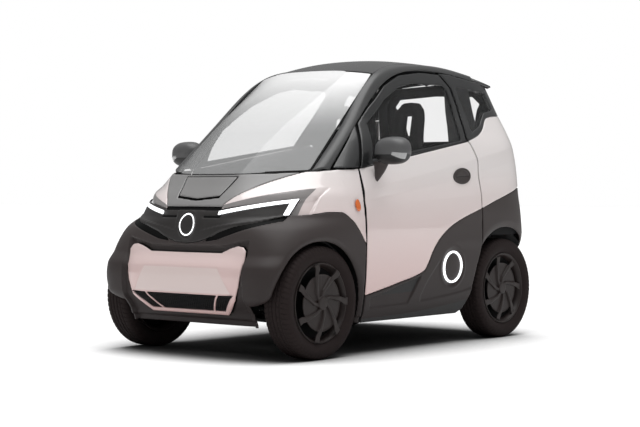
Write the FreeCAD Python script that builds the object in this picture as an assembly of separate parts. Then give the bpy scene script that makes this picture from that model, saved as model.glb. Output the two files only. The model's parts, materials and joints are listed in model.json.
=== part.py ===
"""A two-seat battery microcar, closed body, in millimetres.

+X is the car's left, +Y its rear and +Z up. Stations along the car are measured from the middle of
the wheelbase, and every piece is moved back by SHIFT_Y when it is saved, so that the origin is on
the ground at the middle of the whole car.
"""

import FreeCAD
import Part
import math
import os

V = FreeCAD.Vector

# Wheels and axles
WHEELBASE = 1620.0
TYRE_R = 278.5
TYRE_W = 155.0
RIM_R = 186.0             # seat of the tyre's bead
RIM_LIP_R = 197.0
TRACK_HALF = 546.0        # to the middle of a tyre
KINGPIN_X = 528.0
STUB_R = 15.0
HUB_R = 34.0
BLADES = 7                # blades of the wheel cover
FIRST_BLADE = 13.0        # degrees ahead of straight up
FACE_FRONT = 76.0         # outer side of the cover, from the middle of the tyre
FACE_REAR = 58.0
REACH_FRONT = 193.0       # how far the blades reach, into the rim
REACH_REAR = 182.5
RUNNING = 0.3             # clearance of a shaft in its bore, all round

# Body shell
SHIFT_Y = 30.0            # from the middle of the wheelbase to the origin
FRONT_SKIN = 10.0
REAR_WALL = 24.0
CABIN_WALL = 26.0         # roof and rails
DOOR_WALL = 52.0
DOOR_SKIN = 4.0
FRAME_WALL = 24.0         # window frame of the door
GLASS = 5.0
SEAM = 0.8                # between panels that are fixed to each other
SHUT = 7.5                # round a door, the tailgate and the lid
SILL_Z = 158.0            # underside of the body's skin

# Stations and heights that pieces share
DOOR_FRONT_Y = -474.0
POST_Y = DOOR_FRONT_Y - SHUT
ARCH_FRONT = (-820.0, 272.0, 306.0)     # y, z and radius
ARCH_REAR = (812.0, 287.0, 335.0)
FLOOR_Z = 190.0
FLOOR_T = 30.0
DECK_Z = 560.0            # luggage deck over the drive unit
HINGE_X = 616.0
HINGE_Y = -415.0
HINGE_Z = (380.0, 650.0)
DOOR_SWING = 101.0        # room for the door's inner front corner round its hinge

# Driving positions of the fittings
SEAT_X = 255.0
COLUMN = (255.0, -330.0, 850.0)         # middle of the steering wheel
COLUMN_RAKE = 28.0
WHEEL_R = 175.0
LID_AXIS = (-944.1, 892.4)              # y and z of its hinges
LID_HINGE_X = 100.0
GATE_AXIS = (824.0, 1523.0)
GATE_HINGE_X = 90.0
BARREL_R = 5.0
HINGE_PIN_R = 2.2
COLUMN_R = 9.0

FRONT_AXLE = -WHEELBASE / 2
REAR_AXLE = WHEELBASE / 2

OUT = "parts"
os.makedirs(OUT, exist_ok=True)


def mix(a, b, t):
    return a + (b - a) * t


def table(keys, z):
    """Smooth value at a height from rows of (height, value), with no overshoot between rows."""
    if z <= keys[0][0]:
        return keys[0][1]
    if z >= keys[-1][0]:
        return keys[-1][1]
    slopes = [(b[1] - a[1]) / (b[0] - a[0]) for a, b in zip(keys, keys[1:])]
    bends = [slopes[0]]
    for one, two in zip(slopes, slopes[1:]):
        bends.append(0.0 if one * two <= 0 else 2 * one * two / (one + two))
    bends.append(slopes[-1])
    for k, (a, b) in enumerate(zip(keys, keys[1:])):
        if z <= b[0]:
            h = b[0] - a[0]
            t = (z - a[0]) / h
            return (a[1] * (1 + 2 * t) * (1 - t) ** 2 + h * bends[k] * t * (1 - t) ** 2
                    + b[1] * t * t * (3 - 2 * t) + h * bends[k + 1] * t * t * (t - 1))


# Body outline in plan, by height: half width, nose, tail and how square each end's corners are
HALF = [(158, 594), (215, 608), (300, 621), (430, 632), (560, 635), (700, 629), (780, 620),
        (860, 611), (940, 600), (1072, 575), (1160, 540), (1258, 493), (1350, 455), (1446, 416),
        (1500, 392)]
NOSE = [(158, -1078), (215, -1094), (317, -1163), (400, -1170), (449, -1166), (520, -1128),
        (565, -1122), (656, -1112), (710, -1095), (750, -1074), (790, -1040), (850, -985), (940, -915)]
NOSE_POWER = [(158, 9), (215, 10), (300, 10), (430, 9), (520, 7.5), (565, 6.3), (632, 4.6),
              (700, 3.0), (750, 2.9), (790, 2.9), (850, 2.5), (940, 2.15)]
NOSE_FROM = -300.0
TAIL = [(158, 1060), (300, 1100), (430, 1110), (560, 1110), (700, 1102), (830, 1092), (960, 1096),
        (1072, 1090), (1160, 1074), (1258, 1048), (1350, 1022), (1446, 995)]
TAIL_POWER = 8.0
TAIL_FROM = 350.0


def nose_point(angle, z, inset=0.0):
    """Point of the front half outline: 0 degrees is the flank, 90 the middle of the nose."""
    a, power = table(HALF, z) - inset, table(NOSE_POWER, z)
    b = NOSE_FROM - table(NOSE, z) - inset
    c, s = abs(math.cos(math.radians(angle))), abs(math.sin(math.radians(angle)))
    r = (c ** power + s ** power) ** (-1 / power)
    return V(math.copysign(a * r * c, math.cos(math.radians(angle))), NOSE_FROM - b * r * s, z)


def tail_point(angle, z, inset=0.0):
    a, b = table(HALF, z) - inset, table(TAIL, z) - TAIL_FROM - inset
    c, s = abs(math.cos(math.radians(angle))), abs(math.sin(math.radians(angle)))
    r = (c ** TAIL_POWER + s ** TAIL_POWER) ** (-1 / TAIL_POWER)
    return V(math.copysign(a * r * c, math.cos(math.radians(angle))), TAIL_FROM + b * r * s, z)


def flank_x(y, z):
    """Half width of the body at a station and a height."""
    a = table(HALF, z)
    if y < NOSE_FROM:
        power = table(NOSE_POWER, z)
        share = (NOSE_FROM - y) / (NOSE_FROM - table(NOSE, z))
    elif y > TAIL_FROM:
        power = TAIL_POWER
        share = (y - TAIL_FROM) / (table(TAIL, z) - TAIL_FROM)
    else:
        return a
    return a * max(0.0, 1 - share ** power) ** (1 / power)


def normals(grid, middle):
    """Unit normals of a grid of points, pointing away from the middle."""
    rows, cols = len(grid), len(grid[0])
    found = []
    for i in range(rows):
        line = []
        for j in range(cols):
            du = grid[min(i + 1, rows - 1)][j] - grid[max(i - 1, 0)][j]
            dv = grid[i][min(j + 1, cols - 1)] - grid[i][max(j - 1, 0)]
            n = du.cross(dv)
            n.normalize()
            line.append(n * -1 if n.dot(grid[i][j] - middle) < 0 else n)
        found.append(line)
    return found


def face_of(grid):
    surface = Part.BSplineSurface()
    surface.interpolate(grid)
    return surface


def closed(faces):
    shell = Part.makeShell(faces)
    shell.sewShape()
    solid = Part.makeSolid(shell)
    if solid.Volume < 0:
        solid.reverse()
    return solid


def slab(grid, thick, middle=V(0, 0, 600)):
    """A wall of even thickness, inwards of a grid of points on its outer face."""
    away = normals(grid, middle)
    inner = [[p - n * thick for p, n in zip(row, line)] for row, line in zip(grid, away)]
    outer_s, inner_s = face_of(grid), face_of(inner)
    u0, u1, v0, v1 = outer_s.bounds()
    a0, a1, b0, b1 = inner_s.bounds()
    pairs = [(outer_s.uIso(u0), inner_s.uIso(a0)), (outer_s.uIso(u1), inner_s.uIso(a1)),
             (outer_s.vIso(v0), inner_s.vIso(b0)), (outer_s.vIso(v1), inner_s.vIso(b1))]
    sides = [Part.makeRuledSurface(one.toShape(), two.toShape()) for one, two in pairs]
    return closed([outer_s.toShape(), inner_s.toShape()] + sides)


def rail(points, count):
    """Points evenly spaced along a smooth curve through the key points."""
    curve = Part.BSplineCurve()
    curve.interpolate([V(*p) for p in points])
    return curve.toShape().discretize(Number=count)


def whole(points):
    """Key points of the left half, from the middle out, made into a whole-width list."""
    return [(-x, y, z) for x, y, z in reversed(points) if x > 0] + list(points)


def panel(rails, thick, count=11, seam=SEAM, middle=V(0, 0, 600)):
    """A wall through smooth rails, drawn in by the seam along its four edges."""
    surface = face_of([rail(r, count) for r in rails])
    u0, u1, v0, v1 = surface.bounds()
    du = seam / surface.vIso((v0 + v1) / 2).toShape().Length
    dv = seam / surface.uIso((u0 + u1) / 2).toShape().Length
    rows = max(len(rails), 5)
    grid = [[surface.value(mix(u0, u1, mix(du, 1 - du, i / (rows - 1))),
                           mix(v0, v1, mix(dv, 1 - dv, j / (count - 1)))) for j in range(count)]
            for i in range(rows)]
    return slab(grid, thick, middle)


def prism(points, way):
    """A prism from a closed outline of points, along a vector."""
    return Part.Face(Part.makePolygon(points + [points[0]])).extrude(way)


def bar_x(outline, x0, x1):
    return prism([V(x0, y, z) for y, z in outline], V(x1 - x0, 0, 0))


def bar_y(outline, y0, y1):
    return prism([V(x, y0, z) for x, z in outline], V(0, y1 - y0, 0))


def bar_z(outline, z0, z1):
    return prism([V(x, y, z0) for x, y in outline], V(0, 0, z1 - z0))


def smooth(points, count=24):
    """Points along a smooth flat curve through key points."""
    return [(p.x, p.y) for p in rail([(a, b, 0) for a, b in points], count)]


def ribbon(line, width):
    """Closed outline of a band of even width along an open flat line."""
    left, right = [], []
    for k, (a, b) in enumerate(line):
        before, after = line[max(k - 1, 0)], line[min(k + 1, len(line) - 1)]
        da, db = after[0] - before[0], after[1] - before[1]
        size = math.hypot(da, db)
        na, nb = -db / size * width / 2, da / size * width / 2
        left.append((a + na, b + nb))
        right.append((a - na, b - nb))
    return left + right[::-1]


def box(x0, x1, y0, y1, z0, z1):
    return Part.makeBox(x1 - x0, y1 - y0, z1 - z0, V(x0, y0, z0))


def rod(a, b, radius):
    a, b = V(*a), V(*b)
    return Part.makeCylinder(radius, (b - a).Length, a, b - a)


def flip(shape):
    return shape.mirror(V(0, 0, 0), V(1, 0, 0))


def both(shape):
    return Part.makeCompound([shape, flip(shape)])


def near(shape, point):
    """The solid of a cut-up shape that lies at a point."""
    spot = Part.Vertex(V(*point))
    return min(shape.Solids, key=lambda s: s.distToShape(spot)[0])


def rounded(shape, radius, choose):
    """Edges picked by a test are rounded."""
    edges = [e for e in shape.Edges if choose(e)]
    return shape.makeFillet(radius, edges) if edges else shape


def save(name, shape):
    """One STEP file, moved to the origin; a compound where a piece is a pair."""
    solids = shape.Solids
    shape = solids[0] if len(solids) == 1 else Part.makeCompound(solids)
    for solid in solids:
        if not solid.isValid() or solid.Volume <= 0:
            print("BAD", name, solid.isValid(), round(solid.Volume))
    shape.translate(V(0, SHIFT_Y, 0))
    shape.exportStep(os.path.join(OUT, name + ".step"))
    print(name, len(solids), "solids", len(shape.Faces), "faces", round(shape.Volume / 1000.0), "cm3")


# Front shell: bonnet, wings, lamp band, bumper and nose panel are cut from one skin

WING_EDGE = [(183, 734), (205, 768), (250, 808), (330, 858), (400, 892), (480, 930)]
BAND_TOP = [(0, 746), (187, 746), (191, 738), (300, 757), (520, 786)]
BAND_END = [(516, 788), (503, 692)]
TIP_GAP = [(-187, 730), (187, 730), (187, 760), (-187, 760)]       # dark gap under the bonnet's tip
WEDGE = [(118, 574), (200, 622), (300, 655), (500, 700), (500, 680), (300, 616), (200, 585)]
WEDGE_DEPTH = 7.0
GRILLE_PITCH = 25.0
GRILLE_BAR = 5.0
GRILLE_SLANTS = [(262, 318), (236, 318), (184, 232), (208, 232)]   # the two painted bars across the grille
SLANT_T = 2.0
BAND_LOW = [(0, 565), (80, 573), (300, 636), (500, 702), (545, 709)]
ARCH_TOP = [(-990, 698), (-890, 706), (-800, 712), (-720, 720), (-645, 718), (-585, 684), (-530, 625),
            (-470, 543)]
NOSE_PANEL = [(0, 521), (240, 522), (396, 556), (385, 450), (365, 330), (258, 214), (0, 214)]
GRILLE = [(338, 314), (250, 236)]
LID = [(142, 797), (178, 897)]
LID_DIP = 14.0
LID_SLOT = 8.0             # extra gap along the lid's front edge
SCREEN_LINE = [(-1300, 883), (-936, 906.5), (-719, 920.5), (-642, 928), (POST_Y + 9, 937)]


def front_shell():
    levels = [158, 190, 225, 265, 317, 360, 400, 449, 485, 520, 565, 610, 656, 690, 720, 750, 775]
    levels += [800, 830, 865, 900, 925, 950]
    angles = [0, 8, 16, 24, 30, 36, 41, 46, 51, 57, 64, 72, 81, 90]
    angles += [180 - a for a in reversed(angles[:-1])]
    return slab([[nose_point(a, z) for a in angles] for z in levels], FRONT_SKIN)


def front_panels():
    """The front skin, cut along its seams and trimmed to the arches, posts and screen."""
    shell = front_shell()
    shell = shell.cut(box(-800, 800, POST_Y, 0, 0, 1200))
    shell = shell.cut(bar_x(SCREEN_LINE + [(POST_Y + 9, 1300), (-1300, 1300)], -800, 800))
    y, z, r = ARCH_FRONT
    well = Part.makeCylinder(r, 400, V(430, y, z), V(1, 0, 0)).fuse(box(430, 830, y - r, y + r, 0, z))
    shell = shell.cut(well).cut(flip(well))
    nose = NOSE_PANEL + [(-x, z) for x, z in reversed(NOSE_PANEL) if x > 0]
    lines = [smooth(WING_EDGE, 12), BAND_TOP, BAND_END, BAND_LOW]
    lines += [[(-x, z) for x, z in line] for line in lines]
    knives = [bar_y(ribbon(line, SEAM), -1300, -305) for line in lines]
    arch_line = bar_x(ribbon(smooth(ARCH_TOP, 16), SEAM), 470, 800)
    knives += [arch_line, flip(arch_line)]
    grown = Part.makePolygon([V(x, -1300, z) for x, z in nose + [nose[0]]])
    plate = Part.Face(grown).extrude(V(0, 400, 0))
    edge = Part.Face(grown.makeOffset2D(SEAM)).extrude(V(0, 400, 0))
    nose_panel = shell.common(plate)
    tip = bar_y(TIP_GAP, -1300, -900)
    return shell.cut([edge, tip]).cut(knives), nose_panel


def wedge_band(band):
    """The lamp band with its two dark wedges pressed in."""
    grid = [[nose_point(a, z, -2.0) for a in range(36, 91, 6)] for z in range(560, 731, 17)]
    press = slab(grid, WEDGE_DEPTH + 2.0).common(bar_y(WEDGE, -1300, -700))
    return band.cut([press, flip(press)])


def grille_mesh():
    """Open honeycomb behind the nose panel's mouth."""
    grid = [[nose_point(a, z, 3.0) for a in range(50, 131, 8)] for z in (225, 240, 260, 290, 325)]
    mesh = slab(grid, GRILLE_BAR)
    mesh = mesh.common(bar_y([(x * 0.998, z * 0.998 + 0.6) for x, z in grille_hole()], -1300, -900))
    cells = []
    radius = (GRILLE_PITCH - GRILLE_BAR) / math.sqrt(3)
    for row in range(4):
        z = 245 + row * GRILLE_PITCH * math.sqrt(3) / 2
        for k in range(-13, 14):
            x = (k + 0.5 * (row % 2)) * GRILLE_PITCH
            if abs(x) + radius > 330 - (314 - z) * 1.12 - 8:
                continue
            turns = [math.radians(30 + 60 * n) for n in range(6)]
            corners = [(x + radius * math.cos(t), z + radius * math.sin(t)) for t in turns]
            cells.append(bar_y(corners, -1300, -900))
    return mesh.cut(cells)


def grille_hole():
    (x0, z0), (x1, z1) = GRILLE
    return [(-x0, z0), (x0, z0), (x1, z1), (-x1, z1)]


def slant_bars():
    grid = [[nose_point(a, z, -1.0) for a in range(50, 91, 5)] for z in (222, 240, 260, 290, 322)]
    bar = slab(grid, SLANT_T).common(bar_y(GRILLE_SLANTS, -1300, -900))
    return [bar, flip(bar)]


# Windscreen, roof and side frames: walls through key points of their edges

SCREEN_BASE = [(0, -936, 908), (170, -915, 909), (330, -836, 914), (468, -719, 922)]
SCREEN_MID = [(0, -580, 1204), (150, -566, 1204), (300, -512, 1202), (430, -410, 1192)]
SCREEN_TOP = [(0, -190, 1468), (130, -183, 1467), (260, -155, 1461), (386, -104, 1447)]
ROOF_EDGE = [(386, -104, 1447), (350, 150, 1508), (345, 400, 1520), (352, 640, 1508), (370, 800, 1482)]
ROOF_MIDDLE = [(-190, 1468), (120, 1538), (390, 1552), (640, 1546), (820, 1522)]
PILLAR_OUT = [(527, -642, 929), (484, -335, 1212), (437, -95, 1385), (412, 82, 1455), (404, 285, 1485),
              (402, 560, 1478), (408, 800, 1449)]
PILLAR_IN = [(468, -719, 922), (429, -410, 1190)] + ROOF_EDGE
PILLAR_WALL = 30.0
RAIL_LINE = [(300, 1486), (560, 1477), (800, 1448), (1100, 1424)]
SPOILER = [[(0, 829, 1519), (130, 827, 1515), (250, 820, 1503), (340, 811, 1487), (385, 808, 1471),
            (410, 807, 1449)],
           [(0, 925, 1500), (130, 922, 1496), (250, 914, 1484), (350, 902, 1466), (400, 893, 1452),
            (418, 887, 1440)],
           [(0, 1010, 1474), (130, 1007, 1470), (250, 998, 1460), (360, 982, 1446), (405, 970, 1436),
            (424, 961, 1428)]]


def windscreen():
    return panel([whole(SCREEN_BASE), whole(SCREEN_MID), whole(SCREEN_TOP)], GLASS, 13)


def roof():
    rails = []
    for (x, y, z), (mid_y, mid_z) in zip(ROOF_EDGE, ROOF_MIDDLE):
        quarter = (x * 0.55, mix(mid_y, y, 0.25), mix(mid_z, z, 0.27))
        rails.append(whole([(0, mid_y, mid_z), quarter, (x, y, z)]))
    return panel(rails, CABIN_WALL, 11, middle=V(0, 300, 900))


def side_frame():
    ridge = [(mix(a[0], b[0], 0.5) + 8, mix(a[1], b[1], 0.5) - 6, mix(a[2], b[2], 0.5) + 10)
             for a, b in zip(PILLAR_IN, PILLAR_OUT)]
    return panel([PILLAR_IN, ridge, PILLAR_OUT], PILLAR_WALL, 17, middle=V(0, 300, 900))


# Rear shell: quarters, rear bumper and tailgate are cut from one wall

CLAD_REAR = [(520, 714), (562, 728), (909, 824), (1010, 846), (1200, 850)]
KICK_UP = [(380, 1062), (520, 1100), (640, 1135), (700, 1165), (804, 1240), (900, 1252), (1100, 1258)]
TAILGATE = [(0, 862), (430, 862), (462, 980), (462, 1090), (435, 1220), (398, 1380), (393, 1430),
            (360, 1440), (250, 1452), (0, 1462)]
TAIL_WINDOW = [(0, 1120), (380, 1120), (372, 1230), (338, 1370), (300, 1390), (0, 1402)]
QUARTER_GLASS = [(640, 1172), (590, 1150), (590, 1405), (880, 1385), (905, 1290), (790, 1268),
                 (690, 1190)]


def rear_shell():
    levels = [158, 200, 250, 300, 365, 430, 495, 560, 630, 700, 765, 830, 895, 960, 1020, 1072, 1115]
    levels += [1160, 1210, 1258, 1305, 1350, 1400, 1446, 1480]
    angles = [0, 10, 20, 28, 35, 40, 45, 50, 56, 63, 71, 80, 90]
    angles += [180 - a for a in reversed(angles[:-1])]
    return slab([[tail_point(a, z) for a in angles] for z in levels], REAR_WALL)


def rear_panels():
    clear = door_outline(SHUT)
    shell = rear_shell().cut([clear, flip(clear), box(-800, 800, 0, 478, 0, 1600)])
    y, z, r = ARCH_REAR
    well = Part.makeCylinder(r, 400, V(430, y, z), V(1, 0, 0)).fuse(box(430, 830, 0, y + r, 0, z))
    shell = shell.cut(well).cut(flip(well))
    gate_line = TAILGATE + [(-x, z) for x, z in reversed(TAILGATE) if x > 0]
    wire = Part.makePolygon([V(x, 600, z) for x, z in gate_line + [gate_line[0]]])
    gate_room = Part.Face(wire).extrude(V(0, 700, 0)).fuse(box(-393, 393, 700, 1300, 1420, 1600))
    inner = Part.Face(wire.makeOffset2D(-SHUT)).extrude(V(0, 700, 0))
    tailgate = shell.common(inner)
    shell = shell.cut(gate_room)
    knife = bar_x(ribbon(smooth(CLAD_REAR, 12), SEAM), -800, 800)
    kick = bar_x(ribbon(smooth(KICK_UP, 16), SEAM), 300, 800)
    shell = shell.cut([knife, kick, flip(kick)])
    return shell, tailgate


def spoiler(thick=CABIN_WALL, seam=SEAM):
    return panel([whole(r) for r in SPOILER], thick, 15, seam, V(0, 900, 900))


def spoiler_room():
    """What the spoiler needs clear round it: its wall, grown all round by the gap."""
    room = spoiler(CABIN_WALL + SHUT, -1.5 * SHUT)
    lifted = room.copy()
    lifted.translate(V(0, 0, SHUT))
    return [room, lifted]


# Doors: an outline in side view gives the shell, the skin, the window frame and the gap round them

DOOR = [(-474, 158), (-474, 934), (-372, 1172), (-268, 1255), (-78, 1380), (82, 1444), (285, 1472), (470, 1470),
        (534, 1400), (540, 1290), (513, 1112), (545, 1045), (565, 985), (563, 724), (560, 555), (556, 500),
        (522, 420), (498, 340), (470, 240), (425, 180), (372, 158)]
BELT = [(-600, 920), (-474, 938), (513, 1097), (700, 1128)]
WINDOW = [(-372, 985), (-318, 1172), (-120, 1302), (45, 1376), (188, 1406), (470, 1408), (497, 1385),
          (494, 1290), (462, 1102)]
CLAD_LINE = [(-474, 298), (-230, 345), (20, 405), (52, 440), (100, 512), (170, 580), (275, 640), (400, 684),
             (562, 728)]
CRATER_R = 113.0          # dished seat of the lamp ring
CRATER_DEPTH = 9.0
SCALLOP = [(-380, 300), (-60, 372), (66, 436), (150, 512), (168, 470), (140, 392), (60, 318), (-60, 284)]
SCALLOP_RIBS = [(-150, -96), (-70, -6), (10, 84)]                  # stations where each rib starts and ends
FRAME_INSET = 6.0
PANE_INSET = 12.0
RING = (284.0, 416.0, 86.0, 76.0)       # y, z, outer and inner radius of the lamp ring on the door
HANDLE = (400.0, 906.0, 86.0, 44.0)     # y, z and half sizes
MIRROR = (718.0, -387.0, 1024.0)
MIRROR_HALF = (98.0, 46.0, 70.0)
MIRROR_RINGS = [(-1.0, 0.35), (-0.86, 0.62), (-0.5, 0.86), (0.0, 0.97), (0.6, 1.0), (0.95, 0.97)]


def frame_x(y, z):
    """Half width of the window frame, drawn in towards the screen pillar."""
    t = min(1.0, max(0.0, (z - 940) / 260.0))
    ahead = max(0.0, -y - mix(450, 150, t)) / 180.0
    return table(HALF, z) - FRAME_INSET - mix(70, 30, t) * ahead ** 2


def flank_slab(inset, thick, y0=-485, y1=585, z0=150, z1=1125, rows=25, cols=15):
    grid = []
    for i in range(rows):
        z = mix(z0, z1, i / (rows - 1))
        grid.append([V(flank_x(mix(y0, y1, j / (cols - 1)), z) - inset, mix(y0, y1, j / (cols - 1)), z)
                     for j in range(cols)])
    return slab(grid, thick)


def frame_slab(inset, thick, stations=(-490, -430, -360, -260, -130, 50, 250, 450, 580)):
    grid = []
    for i in range(13):
        z = mix(915, 1490, i / 12)
        grid.append([V(frame_x(y, z) - inset, y, z) for y in stations])
    return slab(grid, thick, V(0, 0, 900))


def below(line, low):
    """Side outline of what lies under a line."""
    return line + [(line[-1][0], low), (line[0][0], low)]


def above(line, high):
    return line + [(line[-1][0], high), (line[0][0], high)]


def door_outline(grow):
    wire = Part.makePolygon([V(300, y, z) for y, z in DOOR + [DOOR[0]]])
    if grow:
        wire = wire.makeOffset2D(grow)
    return Part.Face(wire).extrude(V(500, 0, 0))


def hinge_pocket(z):
    return box(480, HINGE_X + 5.6, DOOR_FRONT_Y - 20, HINGE_Y + 14, z - 22, z + 22)


def door():
    """Shell, skin, glass, lamp ring, handle and mirror of the left door."""
    outline = door_outline(0)
    under = bar_x(below(BELT, 100), 300, 800)
    skin_side = bar_x(above(CLAD_LINE, 1300), 300, 800)
    shell = flank_slab(0, DOOR_WALL).common(outline).common(under)
    skin = flank_slab(0, DOOR_SKIN).common(outline).common(under).common(skin_side)
    room = flank_slab(-1, DOOR_SKIN + 1.0, -520, 640).common(skin_side)
    shell = shell.cut(room)
    top = frame_slab(0, FRAME_WALL).common(outline)
    top = top.cut(bar_x(below([(y, z - 0.01) for y, z in BELT], 100), 300, 800))
    opening = bar_x(WINDOW, 300, 800)
    top = top.cut(opening)
    seat = bar_x(above([(y, z - 40) for y, z in BELT], 1250), 300, 800).common(outline)
    seat = frame_slab(0, FRAME_WALL).common(seat).common(under)
    shell = shell.fuse(top).fuse(seat.cut(room))
    pane = frame_slab(PANE_INSET, GLASS).common(opening)
    pane = pane.cut(bar_x(below([(y, z + 0.3) for y, z in BELT], 100), 300, 800))
    shell = pressed(shell, room).cut(skin)
    for height in HINGE_Z:
        shell = shell.cut(hinge_pocket(height))
        skin = skin.cut(hinge_pocket(height))
        shell = shell.fuse(rod((HINGE_X, HINGE_Y, height - 23), (HINGE_X, HINGE_Y, height + 23), 2.5))
    return shell.removeSplitter(), skin, pane


def pressed(shell, room):
    """The door's cladding with the lamp ring in its crater and the ribbed scallop ahead of it."""
    y, z, big, small = RING
    crater = Part.makeCylinder(CRATER_R, 300, V(500, y, z), V(1, 0, 0))
    scallop = bar_x(SCALLOP, 500, 800).cut(crater)
    shell = shell.cut(flank_slab(-2, CRATER_DEPTH + 2).common(crater.fuse(scallop)).cut(room))
    outer = Part.makeCylinder(big, 300, V(500, y, z), V(1, 0, 0))
    ring = outer.cut(Part.makeCylinder(small, 300, V(500, y, z), V(1, 0, 0)))
    shell = shell.fuse(flank_slab(-2, CRATER_DEPTH + 8).common(ring))
    face = flank_slab(1, CRATER_DEPTH + 3).common(scallop)
    for y0, y1 in SCALLOP_RIBS:
        rib = bar_x([(y0 - 5, 280), (y0 + 5, 280), (y1 + 65, 460), (y1 + 55, 460)], 500, 800)
        shell = shell.fuse(face.common(rib))
    return shell


def handle():
    """An oval pull, standing a little out of the door's skin."""
    y, z, wide, tall = HANDLE
    disc = Part.Face(Part.Wire([Part.Ellipse(V(0, 0, 0), wide, tall).toShape()])).extrude(V(0, 0, 22))
    disc.rotate(V(0, 0, 0), V(1, 0, 0), 90)
    disc.rotate(V(0, 0, 0), V(0, 0, 1), 90)
    disc.translate(V(flank_x(y, z) - 12, y, z))
    return disc.common(flank_slab(-9, 8.7))


def mirror():
    x, y, z = MIRROR
    a, b, c = MIRROR_HALF
    rings = []
    for back, size in MIRROR_RINGS:
        ring = Part.Wire([Part.Ellipse(V(0, 0, 0), a * size, c * size).toShape()])
        ring.rotate(V(0, 0, 0), V(1, 0, 0), 90)
        ring.translate(V(x, y + back * b, z))
        rings.append(ring)
    head = Part.makeLoft(rings, True)
    stalk = rod((x - 55, y, z - 40), (604, -368, 888), 15)
    foot = Part.makeCylinder(24, 12, V(602, -368, 882), V(1, 0, 0.12))
    lump = head.fuse(stalk).fuse(foot)
    return lump.cut(flank_slab(-0.3, 60)).cut(frame_slab(-0.3, 60))


# Wheels, about an axle along X at the origin, outer side towards +X

def revolved(profile, centre):
    """A ring from a closed outline of (x across, radius) points, turned about the axle."""
    wire = Part.makePolygon([V(x, 0, r) for x, r in profile + [profile[0]]])
    ring = Part.Face(wire).revolve(V(0, 0, 0), V(1, 0, 0), 360)
    ring.translate(V(*centre))
    return ring


def tyre(centre):
    half = TYRE_W / 2
    side = [(54, RIM_R + 3.3), (60, 204), (half - 4, 220), (half, 240), (half - 3, 258), (62, TYRE_R - 4),
            (34, TYRE_R)]
    return revolved(side + [(-x, r) for x, r in reversed(side)], centre)


# The wheel's cover: blades that lean back from the hub and bend to the rim, with a fan between each
# two, set back. Each blade is a row of (radius, degrees from its foot, width).
BLADE = [(30, -42, 13), (60, -26, 14), (90, -14, 15), (137, -6, 24), (170, 0, 34)]
FAN_R = 141.0
FAN_DEPTH = 9.0
COVER_T = 6.0


def polar(radius, degrees, x=0.0):
    """Point at an angle from straight up, turning towards the car's rear."""
    a = math.radians(degrees)
    return V(x, radius * math.sin(a), radius * math.cos(a))


def blade(x0, x1, reach):
    rows = BLADE + [(reach, 0, 38)]
    line = [polar(r, turn) for r, turn, wide in rows]
    left, right = [], []
    for k, p in enumerate(line):
        way = line[min(k + 1, len(line) - 1)] - line[max(k - 1, 0)]
        way.normalize()
        across = V(1, 0, 0).cross(way) * (rows[k][2] / 2)
        left.append(p + across + V(x0, 0, 0))
        right.append(p - across + V(x0, 0, 0))
    return prism(left + right[::-1], V(x1 - x0, 0, 0))


def wheel(centre, face, reach):
    """Rim with its bladed cover, in one casting: how far out the cover sits and its blades reach."""
    barrel = [(-64, RIM_LIP_R), (-58.5, RIM_LIP_R), (-56, RIM_R + 3), (-30, RIM_R - 6), (30, RIM_R - 6),
              (56, RIM_R + 3), (58.5, RIM_LIP_R), (64, RIM_LIP_R), (64, RIM_LIP_R - 5), (34, RIM_R - 12),
              (-34, RIM_R - 12), (-64, RIM_LIP_R - 5)]
    casting = revolved(barrel, (0, 0, 0))
    fans = revolved([(face - FAN_DEPTH, 0), (face - FAN_DEPTH, FAN_R), (face - FAN_DEPTH - COVER_T, FAN_R),
                     (face - FAN_DEPTH - COVER_T, 0)], (0, 0, 0))
    hub = revolved([(face + 3, 0), (face + 3, 26), (face, 33), (22, HUB_R), (22, 0)], (0, 0, 0))
    casting = casting.fuse([fans, hub])
    one = blade(face - FAN_DEPTH - COVER_T, face, reach)
    for k in range(BLADES):
        turn = one.copy()
        turn.rotate(V(0, 0, 0), V(1, 0, 0), FIRST_BLADE - 360.0 * k / BLADES)
        casting = casting.fuse(turn)
    casting = casting.cut(rod((0, 0, 0), (face - 20, 0, 0), STUB_R + RUNNING))
    casting.translate(V(*centre))
    return casting


def at_wheel(make, axle, side, *sizes):
    piece = make((TRACK_HALF, axle, TYRE_R), *sizes)
    return piece if side > 0 else flip(piece)


RAIL_Z = 479.7            # underside of the rails that the spring struts bear on
BALL_LOW = 110.0          # ball joints below and above the axle
BALL_HIGH = 108.0
PIN_R = 8.0


def knuckle():
    """Upright with its stub axle and a steering arm that points back."""
    z = TYRE_R
    upright = box(KINGPIN_X - 16, KINGPIN_X + 14, FRONT_AXLE - 20, FRONT_AXLE + 20, z - BALL_LOW + 14,
                  z + BALL_HIGH - 14)
    stub = rod((KINGPIN_X, FRONT_AXLE, z), (TRACK_HALF + FACE_FRONT - 24, FRONT_AXLE, z), STUB_R)
    arm = box(KINGPIN_X - 16, KINGPIN_X + 4, FRONT_AXLE + 10, FRONT_AXLE + 112, z - 42, z - 26)
    holes = rod((KINGPIN_X, FRONT_AXLE, 0), (KINGPIN_X, FRONT_AXLE, z - BALL_LOW + 40), PIN_R + RUNNING)
    top = rod((KINGPIN_X, FRONT_AXLE, z + BALL_HIGH - 40), (KINGPIN_X, FRONT_AXLE, 600), PIN_R + RUNNING)
    holes = holes.fuse(top)
    return upright.fuse(stub).fuse(arm).cut(holes)


def wishbone(z, inner_x, inner_z, spread):
    end = (KINGPIN_X, FRONT_AXLE, z)
    arms = [rod(end, (inner_x, FRONT_AXLE + s * spread, inner_z), 11) for s in (-1, 1)]
    ball = Part.makeCylinder(17, 22, V(KINGPIN_X, FRONT_AXLE, z - 11))
    return arms[0].fuse(arms[1]).fuse(ball)


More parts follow.
